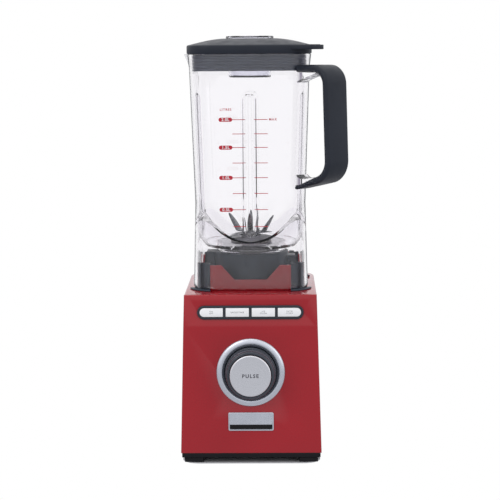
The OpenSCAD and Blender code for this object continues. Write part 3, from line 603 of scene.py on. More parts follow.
def finish(name):
    """Finish of this name, made once"""
    made = bpy.data.materials.get("finish_" + name)
    if made:
        return made
    c = sizes("colours")
    makers = {
        "red_gloss": gloss_red,
        "charcoal_plastic": lambda: grained(name, c.charcoal, 0.40, Specular_IOR_Level=0.3),
        "charcoal_grip": lambda: grained(name, c.charcoal, 0.44, 2200, 0.00002, Specular_IOR_Level=0.3),
        "black_plastic": lambda: grained(name, c.black, 0.34, 1800, 0.000015, Specular_IOR_Level=0.25),
        "seat_plastic": lambda: grained(name, c.seat, 0.42, 900, 0.000008, Specular_IOR_Level=0.3),
        "collar_plastic": lambda: grained(name, c.collar, 0.4, 900, 0.000006),
        "bezel_plastic": lambda: grained(name, c.charcoal, 0.36, 1600, 0.00001),
        "knob_dark": lambda: grained(name, (0.042, 0.049, 0.064), 0.30, 1600, 0.000006),
        "black_rubber": lambda: grained(
            name, (0.006, 0.006, 0.008), 0.66, 1200, 0.00004, Specular_IOR_Level=0.25
        ),
        "grey_seal": lambda: grained(name, c.seal, 0.42, 900, 0.00001),
        "gasket_silicone": lambda: grained(name, (0.70, 0.70, 0.68), 0.5, 900, 0.00001),
        "button_white": lambda: grained(name, c.button, 0.26, 1600, 0.000006, 0.02),
        "board_green": lambda: grained(name, (0.02, 0.12, 0.05), 0.45, 700, 0.00002),
        "print_red": lambda: grained(name, c.mark, 0.42, 1500, 0.000004, 0.04),
        "print_white": lambda: grained(name, (0.85, 0.85, 0.87), 0.45, 1500, 0.000004, 0.02),
        "print_grey": lambda: grained(name, (0.05, 0.05, 0.065), 0.5, 1500, 0.000004, 0.04),
        "satin_silver": lambda: metal(name, c.silver, 0.30, 900),
        "cast_alloy": lambda: metal(name, (0.50, 0.51, 0.53), 0.48, 380, height=0.00005),
        "lamination_steel": lambda: metal(
            name, (0.20, 0.21, 0.22), 0.5, 700, (0.05, 0.05, 2.2), 0.00006
        ),
        "copper_wire": lambda: metal(
            name, (0.60, 0.22, 0.09), 0.35, 420, (0.1, 0.4, 3), 0.00015
        ),
        "copper_bar": lambda: metal(name, (0.68, 0.30, 0.16), 0.25, 500, (3, 3, 0.05), 0.00008),
        "brass_part": lambda: metal(name, (0.66, 0.45, 0.16), 0.35),
        "bearing_steel": lambda: metal(name, (0.58, 0.59, 0.61), 0.22, 800, (1, 1, 0.1)),
        "screw_steel": lambda: metal(name, (0.45, 0.46, 0.48), 0.34),
        "blade_steel": lambda: metal(name, c.steel, 0.26, 900, (0.2, 1, 1), 0.00001),
        "clear_plastic": lambda: clear(name, c.clear),
        "clear_cap": lambda: clear(name, c.clear_cap, 0.01),
    }
    made = makers[name]()
    made.name = "finish_" + name
    return made


FINISHES = {  # pieces whose finish differs a little from their slot's
    "jug_seat": "seat_plastic", "seat_pads": "seat_plastic", "button_bezel": "bezel_plastic",
    "blade_housing": "collar_plastic", "retaining_nut": "collar_plastic",
}


def slot_of(node):
    for entry in frame["record"]["subparts"]:
        if entry["node"] == node:
            return entry["material_slot"]
    raise ValueError(f"{node} has no finish in the record")


def body_of(node):
    for body, members in frame["record"]["behaviour"]["bodies"].items():
        if node in members:
            return body
    raise ValueError(f"{node} is in no body")


class MakePiece:
    """Shared behaviour of the operators below"""

    bl_options = {"REGISTER", "UNDO"}

    def done(self, *made):
        if not made or not all(made):
            raise RuntimeError(f"{self.bl_label} made nothing")
        return {"FINISHED"}


# ---------- base ----------


def soft_copy(node, name, bevel=0.4 * MM, angle=32, outer=None, outer_bevel=0.0):
    """Copy of a CAD node with softened edges; outer picks the edges with a wider radius"""
    bm = bmesh.new()
    bm.from_mesh(frame["nodes"][node].data)
    bmesh.ops.remove_doubles(bm, verts=bm.verts, dist=5e-6)
    bmesh.ops.dissolve_limit(
        bm, angle_limit=math.radians(0.8), verts=bm.verts, edges=bm.edges, delimit=set()
    )
    if outer:
        wide = [e for e in sharp_edges(bm, math.radians(angle)) if outer(e)]
        soften(bm, wide, outer_bevel, 4)
    if bevel:
        near = [e for e in sharp_edges(bm, math.radians(angle)) if not (outer and outer(e))]
        soften(bm, near, bevel, 2)
    slot = slot_of(node)
    look = finish(FINISHES.get(node, slot))
    return piece(name, bm, body_of(node), look, [node], recalc=False)


def deck_rim(edge):
    """Edges round the flat top, and not those of the hole in it"""
    away = all(v.co.to_2d().length > 60 * MM for v in edge.verts)
    return away and all(v.co.z > DECK_Z - 0.05 * MM for v in edge.verts)


def front_sides(edge):
    """Long leaning edges on both sides of the front, and its top edge"""
    ahead = all(v.co.y < panel_y(v.co.z) - 1 * MM for v in edge.verts)
    if not ahead:
        return False
    beside = all(abs(v.co.x) > half_width(v.co.z) - 0.5 * MM for v in edge.verts)
    return beside or all(v.co.z > DECK_Z - 0.05 * MM for v in edge.verts)


class JUGBLENDER_OT_shell(MakePiece, bpy.types.Operator):
    """Makes the red shell with its front face and the plinth for the jug"""

    bl_idname = "jugblender.shell"
    bl_label = "Red shell"

    def execute(self, context):
        b = sizes("base")
        shell = soft_copy("base_housing", "red_shell", 0.3 * MM, 32, deck_rim, b.edge)
        face = soft_copy("front_panel", "red_front", 0.3 * MM, 32, front_sides, b.edge * 0.6)
        plinth = soft_copy("drive_plinth", "red_plinth", 0.6 * MM)
        return self.done(shell, face, plinth)


class JUGBLENDER_OT_underside(MakePiece, bpy.types.Operator):
    """Makes the bottom plate, its feet and screws, and the cord gland"""

    bl_idname = "jugblender.underside"
    bl_label = "Underside"

    def execute(self, context):
        made = [
            soft_copy("base_plate", "bottom_plate", 0.5 * MM),
            soft_copy("rubber_feet", "feet", 1.2 * MM),
            soft_copy("base_screws", "bottom_screws", 0.2 * MM),
            soft_copy("cord_gland", "gland", 0.4 * MM),
        ]
        return self.done(*made)


class JUGBLENDER_OT_seat(MakePiece, bpy.types.Operator):
    """Makes the charcoal seat of the jug, its corner pads and both couplings"""

    bl_idname = "jugblender.seat"
    bl_label = "Jug seat"

    def execute(self, context):
        made = [
            soft_copy("jug_seat", "seat", 0.7 * MM),
            soft_copy("seat_pads", "pads", 0.6 * MM),
            soft_copy("drive_coupling", "motor_coupling", 0.4 * MM),
            soft_copy("driven_coupling", "jug_coupling", 0.4 * MM),
        ]
        return self.done(*made)


# ---------- controls ----------


def dial_matrix():
    for joint in frame["joints"]:
        if joint["name"] == "dial_turn":
            return on_front(joint["pos_m"][2])
    raise ValueError("the dial has no joint")


def row_matrix():
    return on_front(DECK_Z - sizes("controls").row_drop)


def engrave(text, height, matrix, name, body, slot, tint, **style):
    """Printed or inlaid lettering as a piece of its own"""
    bm = bmesh.new()
    lettering(text, height, matrix, bm, **style)
    return piece(name, bm, body, finish(tint))


class JUGBLENDER_OT_dial(MakePiece, bpy.types.Operator):
    """Makes the silver ring, the stepped knob and the brushed pulse button"""

    bl_idname = "jugblender.dial"
    bl_label = "Dial and pulse button"

    def execute(self, context):
        c = sizes("controls")
        place = dial_matrix()
        ring, knob, cap, top = c.ring, c.knob, c.cap, c.knob_height
        bore = knob + 0.6 * MM
        profile = [
            (bore, -5 * MM), (bore, 1.2 * MM), (bore + 0.4 * MM, 1.9 * MM),
            (bore + 1.4 * MM, 2.5 * MM), (bore + 2.4 * MM, 3.2 * MM), (bore + 3.2 * MM, 3.55 * MM),
            (ring - 3.4 * MM, 3.2 * MM), (ring - 1.8 * MM, 2.75 * MM), (ring - 0.7 * MM, 2.0 * MM),
            (ring - 0.15 * MM, 1.1 * MM), (ring, 0.1 * MM), (knob + 1.5 * MM, 0.1 * MM),
            (knob + 1.5 * MM, -5 * MM), (bore, -5 * MM),
        ]
        bm = bmesh.new()
        turned(bm, profile, 144, place)
        silver = piece("silver_ring", bm, "base", finish("satin_silver"),
                       ["dial_ring"])
        bm = bmesh.new()
        made = bmesh.ops.create_cone(bm, cap_ends=True, segments=3, radius1=1.5 * MM,
                                     radius2=1.4 * MM, depth=0.1 * MM)
        lift = Matrix.Translation((0, ring - 7.2 * MM, 3.62 * MM))
        down = Matrix.Rotation(math.pi, 4, "Z")
        bmesh.ops.transform(bm, matrix=place @ lift @ down, verts=made["verts"])
        mark = piece("ring_mark", bm, "base", finish("print_grey"))

        profile = [
            (5.1 * MM, 6.1 * MM), (5.1 * MM, -4 * MM), (9 * MM, -4 * MM), (9 * MM, 3 * MM),
            (knob - 3 * MM, 3 * MM), (knob - 3 * MM, 0.4 * MM), (knob - 0.3 * MM, 0.4 * MM),
            (knob, 0.8 * MM), (knob, 4.6 * MM), (knob - 0.25 * MM, 6.4 * MM),
            (knob - 0.9 * MM, 7.2 * MM), (knob - 1.0 * MM, 9.0 * MM), (knob - 1.2 * MM, 12 * MM),
            (knob - 1.35 * MM, top - 4 * MM), (knob - 1.7 * MM, top - 1.6 * MM),
            (knob - 2.4 * MM, top - 0.4 * MM), (knob - 3.1 * MM, top),
            (cap + 1.4 * MM, top), (cap + 0.8 * MM, top - 0.3 * MM),
            (cap + 0.35 * MM, top - 1.2 * MM), (cap + 0.3 * MM, top - 2.2 * MM),
            (cap + 0.3 * MM, top - 9 * MM), (8 * MM, top - 9 * MM), (8 * MM, 6.1 * MM),
            (5.1 * MM, 6.1 * MM),
        ]
        bm = bmesh.new()
        turned(bm, profile, 144, place)
        dark = piece("dial_ring_knob", bm, "dial", finish("knob_dark"),
                     ["dial_knob"], 25)

        high = top + 4 * MM
        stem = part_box("pulse_button")[1].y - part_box("pulse_button")[0].y
        profile = [
            (0, high - 0.15 * MM), (cap * 0.5, high - 0.1 * MM), (cap - 1.6 * MM, high - 0.02 * MM),
            (cap - 1.0 * MM, high), (cap - 0.45 * MM, high - 0.18 * MM),
            (cap - 0.1 * MM, high - 0.6 * MM), (cap, high - 1.2 * MM), (cap, top - 2.5 * MM),
            (2.4 * MM, top - 2.5 * MM), (2.4 * MM, high - stem + 1.2 * MM),
            (0, high - stem + 1.2 * MM),
        ]
        bm = bmesh.new()
        turned(bm, profile, 144, place)
        spun = spun_metal("brushed_cap", sizes("colours").cap, 0.27, place)
        pulse = piece("pulse_cap", bm, "pulse", spun, ["pulse_button"])
        word = engrave("PULSE", 4.0 * MM, place @ Matrix.Translation((0, 0, high - 0.09 * MM)),
                       "pulse_word", "pulse", "brushed_cap", "print_grey", spread=1.3,
                       bold=0.16 * MM)
        return self.done(silver, mark, dark, pulse, word)


class JUGBLENDER_OT_buttons(MakePiece, bpy.types.Operator):
    """Makes the black bezel and the four push buttons with their plain legends"""

    bl_idname = "jugblender.buttons"
    bl_label = "Push buttons"

    def execute(self, context):
        c = sizes("controls")
        place = row_matrix()
        made = [soft_copy("button_bezel", "bezel", 0.35 * MM)]
        legends = ("ON\nOFF", "SMOOTHIE", "ICE\nCRUSH", "AUTO\nCLEAN")
        for index, legend in enumerate(legends):
            body = f"button_{index + 1}"
            made.append(soft_copy(body, f"push_{index + 1}", 0.5 * MM))
            spot = Matrix.Translation(((index - 1.5) * c.button_pitch, 0, 2.2 * MM))
            height = 1.5 * MM if "\n" in legend else 1.8 * MM
            made.append(engrave(legend, height, place @ spot, f"legend_{index + 1}", body,
                                "button_white", "print_grey", spread=1.25))
        return self.done(*made)


class JUGBLENDER_OT_badge(MakePiece, bpy.types.Operator):
    """Makes the blank badge plate with its raised frame and its dark bar"""

    bl_idname = "jugblender.badge"
    bl_label = "Blank badge"

    def execute(self, context):
        c = sizes("controls")
        low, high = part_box("badge_plate")
        place = on_front((low.z + high.z) / 2)
        wide, tall = c.badge_width, c.badge_height
        bm = bmesh.new()
        slab(bm, wide, tall, 0.1 * MM, 1.3 * MM, 1.8 * MM, 0.35 * MM)
        top = [f for f in bm.faces if f.normal.z > 0.99 and f.calc_area() > wide * tall * 0.7]
        bmesh.ops.inset_region(bm, faces=top, thickness=1.0 * MM, depth=0)
        bmesh.ops.inset_region(bm, faces=top, thickness=0.3 * MM, depth=-0.35 * MM)
        bmesh.ops.transform(bm, matrix=place, verts=bm.verts)
        plate = piece("badge", bm, "base", finish("satin_silver"),
                      ["badge_plate"])
        bm = bmesh.new()
        spot = place @ Matrix.Translation((0, -tall * 0.29, 0))
        slab(bm, wide - 3.4 * MM, tall * 0.25, 0.9 * MM, 1.12 * MM, 0.4 * MM, 0.08 * MM, spot)
        bar = piece("badge_bar", bm, "base", finish("black_plastic"))
        return self.done(plate, bar)


# ---------- jug ----------


def wall_levels(half_at, radius, low, high, dent=None, step=1.5 * MM):
    """Rings of a wall at even heights, for reading points between them"""
    count = math.ceil((high - low) / step)
    heights = [low + (high - low) * i / count for i in range(count + 1)]
    return [square_ring(half_at(z), radius, z, dent) for z in heights]


def wall_spot(levels, index, z):
    """Point of one column of a wall at height z"""
    low, high = levels[0][0].z, levels[-1][0].z
    share_up = (z - low) / (high - low) * (len(levels) - 1)
    step = min(len(levels) - 2, max(0, int(share_up)))
    return levels[step][index].lerp(levels[step + 1][index], share_up - step)


def crease_heights(levels, radius, ceiling):
    """For each column of a wall, the height where the bowl's sphere meets it"""
    centre = bowl_centre_z()
    found = []
    for index in range(len(levels[0])):
        outside = [
            ring[index].to_2d().length_squared + (ring[index].z - centre) ** 2 - radius**2
            for ring in levels
        ]
        z = levels[-1][index].z
        for step in range(len(levels) - 1):
            if outside[step] > 0 >= outside[step + 1]:
                part = outside[step] / (outside[step] - outside[step + 1])
                z = levels[step][index].lerp(levels[step + 1][index], part).z
                break
        found.append(min(z, ceiling))
    return found


def bowl_rows(points, radius, floor_z, steps):
    """Rings down a sphere, from points on it to its flat floor"""
    centre = bowl_centre_z()
    low = math.acos((centre - floor_z) / radius)
    rows = []
    for step in range(1, steps + 1):
        row = []
        for point in points:
            start = math.acos(max(-1.0, min(1.0, (centre - point.z) / radius)))
            angle = start + (low - start) * step / steps
            out = point.to_2d().normalized() * radius * math.sin(angle)
            row.append(Vector((out.x, out.y, centre - radius * math.cos(angle))))
        rows.append(row)
    return rows


def with_spout(points, z, radius, inset):
    """Pulls the back left corner of a ring out into the pouring lip"""
    rise = (z - (RIM_Z - 26 * MM)) / (25 * MM)
    if rise <= 0:
        return points
    j = sizes("jug")
    rise = min(1.0, rise)
    side_count = len(points) // 4
    start = 3 * side_count - CORNER_STEPS
    corner = math.sqrt(2) * (j.mouth - j.corner)
    tip = 9 * MM
    middle = corner + (j.spout - tip - corner) * rise
    round_r = radius + (tip - inset - radius) * rise
    turn = Matrix.Rotation(math.radians(135), 3, "Z")
    for step in range(1, CORNER_STEPS):
        angle = (step / CORNER_STEPS - 0.5) * math.pi / 2 * (1 + 0.43 * min(1.0, 4 * rise))
        spot = Vector((middle + round_r * math.cos(angle), round_r * math.sin(angle), 0))
        out = turn @ spot
        points[start + step] = Vector((out.x, out.y, z))
    return points


def steps_between(low, high, count):
    return [low + (high - low) * i / count for i in range(1, count + 1)]


def outer_rows():
    """Rings up the outside of the jug, from its lower edge to its rim"""
    j = sizes("jug")
    rows = [
        square_ring(j.skirt - 0.9 * MM, j.corner - 0.9 * MM, JUG_Z),
        square_ring(j.skirt - 0.25 * MM, j.corner - 0.25 * MM, JUG_Z + 0.25 * MM),
    ]
    flute_low, flute_high = FLOOR_Z + 14 * MM, wall_top_z() - FLUTE_END[0]
    heights = [JUG_Z + 0.9 * MM]
    heights += steps_between(heights[-1], flute_low, 8)
    heights += steps_between(flute_low, flute_low + 18 * MM, 12)
    heights += steps_between(heights[-1], JUG_Z + j.waist_height, 2)
    heights += steps_between(heights[-1], flute_high, 8)
    heights += steps_between(flute_high, wall_top_z() - FLUTE_END[1], 12)
    heights += steps_between(heights[-1], wall_top_z(), 3)
    for z in heights:
        rows.append(square_ring(jug_half(z), j.corner, z, outer_dent))
    for z in steps_between(wall_top_z(), RIM_Z - 0.9 * MM, 6):
        flare = j.flare * (z - wall_top_z()) / (RIM_Z - wall_top_z())
        rows.append(square_ring(j.mouth + flare, j.corner + flare, z))
    top = j.mouth + j.flare
    for inset, drop in ((0.3, 0.25), (1.0, 0.0)):
        rows.append(
            square_ring(top - inset * MM, j.corner + j.flare - inset * MM, RIM_Z - drop * MM)
        )
    return [with_spout(row, row[0].z, j.corner, 0) for row in rows]


def inner_rows():
    """Rings down the inside of the jug to the bore of its floor"""
    j = sizes("jug")
    radius = j.corner - j.wall
    floor = FLOOR_Z + j.floor
    levels = wall_levels(jug_inner_half, radius, floor, RIM_Z, inner_dent)
    crease = crease_heights(levels, j.bowl - j.wall, bowl_centre_z())
    count = len(crease)
    split = bowl_centre_z() + 2 * MM
    heights = [RIM_Z - 0.9 * MM] + steps_between(RIM_Z - 0.9 * MM, wall_top_z() - FLUTE_END[1], 8)
    heights += steps_between(heights[-1], wall_top_z() - FLUTE_END[0], 12)
    heights += steps_between(heights[-1], split, 8)
    rows = []
    for inset, drop in ((1.2, 0.0), (0.35, 0.25)):
        half = jug_inner_half(RIM_Z) + inset * MM
        rows.append(square_ring(half, radius + inset * MM, RIM_Z - drop * MM))
    rows += [[wall_spot(levels, i, z) for i in range(count)] for z in heights]
    rows = [with_spout(row, row[0].z, radius, j.wall) for row in rows]
    for part in steps_between(0, 1, 14):
        rows.append([wall_spot(levels, i, split + (crease[i] - split) * part)
                     for i in range(count)])
    rows += bowl_rows(rows[-1], j.bowl - j.wall, floor, 14)
    like = rows[-1]
    for reach, z in (
        (44 * MM, floor), (30 * MM, floor), (j.bore + 0.5 * MM, floor),
        (j.bore, floor - 0.5 * MM), (j.bore, FLOOR_Z + 0.4 * MM), (j.bore + 0.4 * MM, FLOOR_Z),
    ):
        rows.append(round_ring(reach, z, like))
    return rows


def under_rows():
    """Rings under the bowl: the collar, the outside of the bowl and the inside of the skirt"""
    j = sizes("jug")
    like = square_ring(j.skirt, j.corner, JUG_Z)
    inner, low = j.collar - 7 * MM, FLOOR_Z - 6 * MM
    rows = [
        round_ring(reach, z, like)
        for reach, z in (
            (inner, FLOOR_Z), (inner, low + 0.5 * MM), (inner + 0.5 * MM, low),
            (j.collar - 0.6 * MM, low), (j.collar, low + 0.6 * MM), (j.collar, FLOOR_Z),
            (j.bowl_floor, FLOOR_Z),
        )
    ]
    ceiling = bowl_centre_z() - 20 * MM
    levels = wall_levels(
        lambda z: jug_half(z) - j.wall, j.corner - j.wall, JUG_Z, ceiling + 12 * MM
    )
    crease = crease_heights(levels, j.bowl, ceiling)
    walls = [wall_spot(levels, i, z) for i, z in enumerate(crease)]
    centre = bowl_centre_z()
    on_bowl = []
    for wall in walls:
        reach = math.sqrt(j.bowl**2 - (centre - wall.z) ** 2)
        out = wall.to_2d().normalized() * min(reach, wall.to_2d().length)
        on_bowl.append(Vector((out.x, out.y, wall.z)))
    rows += list(reversed(bowl_rows(on_bowl, j.bowl, FLOOR_Z, 12)))[1:]
    rows += [on_bowl, walls]
    for part in steps_between(0, 1, 9):
        rows.append([wall_spot(levels, i, z + (JUG_Z + 0.9 * MM - z) * part)
                     for i, z in enumerate(crease)])
    half, radius = j.skirt - j.wall, j.corner - j.wall
    rows.append(square_ring(half + 0.25 * MM, radius + 0.25 * MM, JUG_Z + 0.25 * MM))
    rows.append(square_ring(half + 0.9 * MM, radius + 0.9 * MM, JUG_Z))
    return rows


class JUGBLENDER_OT_jug(MakePiece, bpy.types.Operator):
    """Makes the clear jug: skirt, fluted walls, flared rim, pouring lip and round bowl"""

    bl_idname = "jugblender.jug"
    bl_label = "Clear jug"

    def execute(self, context):
        bm = bmesh.new()
        skin(bm, outer_rows() + inner_rows() + under_rows(), close=True)
        jug = piece("jug", bm, "jug", finish("clear_plastic"),
                    ["jug_vessel", "jug_skirt"], 28)
        return self.done(jug)


def wall_reach(z, aside):
    """Distance of the jug's front right corner along its diagonal, at an offset to one side"""
    j = sizes("jug")
    flat = jug_half(z) - j.corner
    grow = max(0.0, z - wall_top_z()) / (RIM_Z - wall_top_z()) * j.flare
    inside = max(0.0, (j.corner + grow) ** 2 - aside**2)
    return math.sqrt(2) * flat + math.sqrt(inside)


def in_handle_plane(reach, aside, z):
    """Point at a reach along the front right diagonal, off it by aside"""
    turn = Matrix.Rotation(math.radians(-45), 3, "Z")
    return turn @ Vector((reach, aside, z))


def grip_path():
    """Stations of the strap: middle point, direction of its outer side, thickness"""
    g = sizes("grip")
    half = g.thickness / 2
    top, low = GRIP_BOX[1].z, GRIP_BOX[0].z
    upper = (g.reach - 3 * MM - g.bend, top - g.bend)
    lower = (g.reach - g.foot_bend, low + 8 * MM + g.foot_bend)
    stations = []
    for reach in steps_between(70 * MM, upper[0], 8)[:-1]:
        stations.append((reach, top - half, math.pi / 2, g.thickness))
    for step in range(15):
        angle = math.pi / 2 * (1 - step / 14)
        r = g.bend - half
        stations.append((upper[0] + r * math.cos(angle), upper[1] + r * math.sin(angle),
                         angle, g.thickness))
    for step in range(15):
        angle = -g.foot_angle * step / 14
        r = g.foot_bend - half
        stations.append((lower[0] + r * math.cos(angle), lower[1] + r * math.sin(angle),
                         angle, g.thickness))
    start = stations[-1]
    end = (84 * MM, low + 2.2 * MM)
    lean = math.atan2(start[1] - end[1], start[0] - end[0]) - math.pi / 2
    for step in range(1, 9):
        part = step / 8
        stations.append((start[0] + (end[0] - start[0]) * part,
                         start[1] + (end[1] - start[1]) * part,
                         lean, g.thickness + (4 * MM - g.thickness) * part))
    return stations


def strap_width(reach):
    """Width of the strap, which narrows towards the wall"""
    g = sizes("grip")
    part = smooth_step((reach - g.end_reach) / (g.reach - 20 * MM - g.end_reach))
    return g.end_width + (g.width - g.end_width) * part


def strap_ring(station):
    """Rounded cross-section of the strap at a station"""
    reach, z, angle, thick = station
    wide, edge = strap_width(reach) / 2, min(sizes("grip").edge, thick * 0.48)
    out = (math.cos(angle), math.sin(angle))
    points = []
    for corner, (sx, sy) in enumerate(((1, 1), (-1, 1), (-1, -1), (1, -1))):
        for step in range(6):
            turn = math.pi / 2 * (corner + step / 5)
            across = sx * (wide - edge) + edge * math.cos(turn)
            through = sy * (thick / 2 - edge) + edge * math.sin(turn)
            points.append((across, through))
    ring = []
    for across, through in points:
        spot = in_handle_plane(reach + out[0] * through, -across, z + out[1] * through)
        ring.append(spot)
    return ring, points


class JUGBLENDER_OT_grip(MakePiece, bpy.types.Operator):
    """Makes the charcoal grip strap and the clear roots that carry it"""

    bl_idname = "jugblender.grip"
    bl_label = "Grip"

    def execute(self, context):
        bm = bmesh.new()
        stations = grip_path()
        rings = [strap_ring(station)[0] for station in stations]
        for end, gap in ((0, 0.15 * MM), (-1, sizes("grip").stand_off)):
            ring, points = strap_ring(stations[end])
            moved = []
            for spot, (across, _) in zip(ring, points):
                reach = wall_reach(spot.z, min(abs(across), sizes("jug").corner)) + gap
                moved.append(in_handle_plane(reach, -across, spot.z))
            rings[end] = moved
        middle = (GRIP_BOX[0].z + GRIP_BOX[1].z) / 2
        first = max(p.to_2d().length for p in rings[0])
        last = max(p.to_2d().length for p in rings[-1])
        keep = [rings[0]]
        for ring, station in zip(rings[1:-1], stations[1:-1]):
            limit = first if station[1] > middle else last
            if min(p.to_2d().length for p in ring) > limit - 2 * MM or station[0] > 100 * MM:
                keep.append(ring)
        keep.append(rings[-1])
        skin(bm, keep)
        rims = [e for e in bm.edges if e.is_boundary]
        bmesh.ops.holes_fill(bm, edges=rims, sides=0)
        grip = piece("grip", bm, "jug", finish("charcoal_grip"),
                     ["handle_grip"], 50)
        return self.done(grip, self.roots())

    def roots(self):
        """Clear webs above the lower arm and under the upper arm of the strap"""
        g = sizes("grip")
        under = GRIP_BOX[1].z - g.thickness - 0.15 * MM
        low = GRIP_BOX[0].z
        upper = [(86.5, 0), (118, 0), (113, -1.8), (106, -4.2), (98, -6.4), (91, -8.4),
                 (87, -10), (85.4, -12)]
        lower = [(82.8, 1.0), (90, 3.4), (100, 7.4), (113, 13.6), (112, 15.6), (106, 14.8),
                 (98, 13.2), (91, 13.0), (86.5, 14.4), (83.4, 17)]
        bm = bmesh.new()
        for outline, base in ((upper, under), (lower, low)):
            verts = [bm.verts.new(in_handle_plane(x * MM, -10 * MM, base + z * MM))
                     for x, z in outline]
            face = bm.faces.new(verts)
            made = bmesh.ops.extrude_face_region(bm, geom=[face])
            moved = [v for v in made["geom"] if isinstance(v, bmesh.types.BMVert)]
            across = in_handle_plane(0, 20 * MM, 0)
            bmesh.ops.translate(bm, verts=moved, vec=across)
        bmesh.ops.recalc_face_normals(bm, faces=bm.faces)
        soften(bm, sharp_edges(bm, math.radians(32)), 1.0 * MM, 3)
        return piece("grip_roots", bm, "jug", finish("clear_plastic"))


# ---------- litre marks ----------


MARK_LINES = ((-19.3 * MM, -4.6 * MM), (5.2 * MM, 20.6 * MM))  # their ends on both sides
MARKS = (  # litres, height over the table
    (2.0, 0.3879), (1.75, 0.3718), (1.5, 0.3564), (1.25, 0.3388),
    (1.0, 0.3220), (0.75, 0.3040), (0.5, 0.2855), (0.25, 0.2662),
)


def lay_on_jug(verts):
    """Lays flat verts (x, height) on the jug's front face, following its flute"""
    for vert in verts:
        x, z = vert.co.x, vert.co.z
        vert.co.y = -jug_half(z) + outer_dent(x, z) - 0.07 * MM


class JUGBLENDER_OT_marks(MakePiece, bpy.types.Operator):
    """Prints the red litre marks, their numbered pills and the words LITRES and MAX"""

    bl_idname = "jugblender.marks"
    bl_label = "Litre marks"

    def execute(self, context):
        bm = bmesh.new()
        for _, z in MARKS:
            for start, end in MARK_LINES:
                grid = bmesh.ops.create_grid(bm, x_segments=14, y_segments=1, size=0.5)
                size_up = Matrix.Diagonal((end - start, 0.75 * MM, 1, 1))
                place = Matrix.Translation(((start + end) / 2, 0, z))
                stand = Matrix.Rotation(math.pi / 2, 4, "X")
                bmesh.ops.transform(bm, matrix=place @ stand @ size_up, verts=grid["verts"])
                lay_on_jug(grid["verts"])
        lines = piece("litre_lines", bm, "jug", finish("print_red"), recalc=False)

        bm, numbers = bmesh.new(), bmesh.new()
        for litres, z in MARKS[::2]:
            place = on_jug_front(-27 * MM, z)
            slab(bm, 15.4 * MM, 4.7 * MM, 0.02 * MM, 0.10 * MM, 2.3 * MM, 0, place)
            lettering(f"{litres:.1f}L", 3.3 * MM, place @ Matrix.Translation((0, 0, 0.11 * MM)),
                      numbers, 0.02 * MM, bold=0.12 * MM)
        pills = piece("litre_pills", bm, "jug", finish("print_red"))
        text = piece("litre_numbers", numbers, "jug", finish("print_white"))
        bm = bmesh.new()
        lettering("LITRES", 2.6 * MM, on_jug_front(-26.6 * MM, 0.3992), bm, 0.03 * MM, spread=1.25,
                  bold=0.08 * MM)
        lettering("MAX", 2.6 * MM, on_jug_front(26.6 * MM, MARKS[0][1]), bm, 0.03 * MM, spread=1.2,
                  bold=0.08 * MM)
        words = piece("litre_words", bm, "jug", finish("print_red"))
        return self.done(lines, pills, text, words)


# ---------- lid ----------


def seal_half():
    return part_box("lid_seal")[1].x


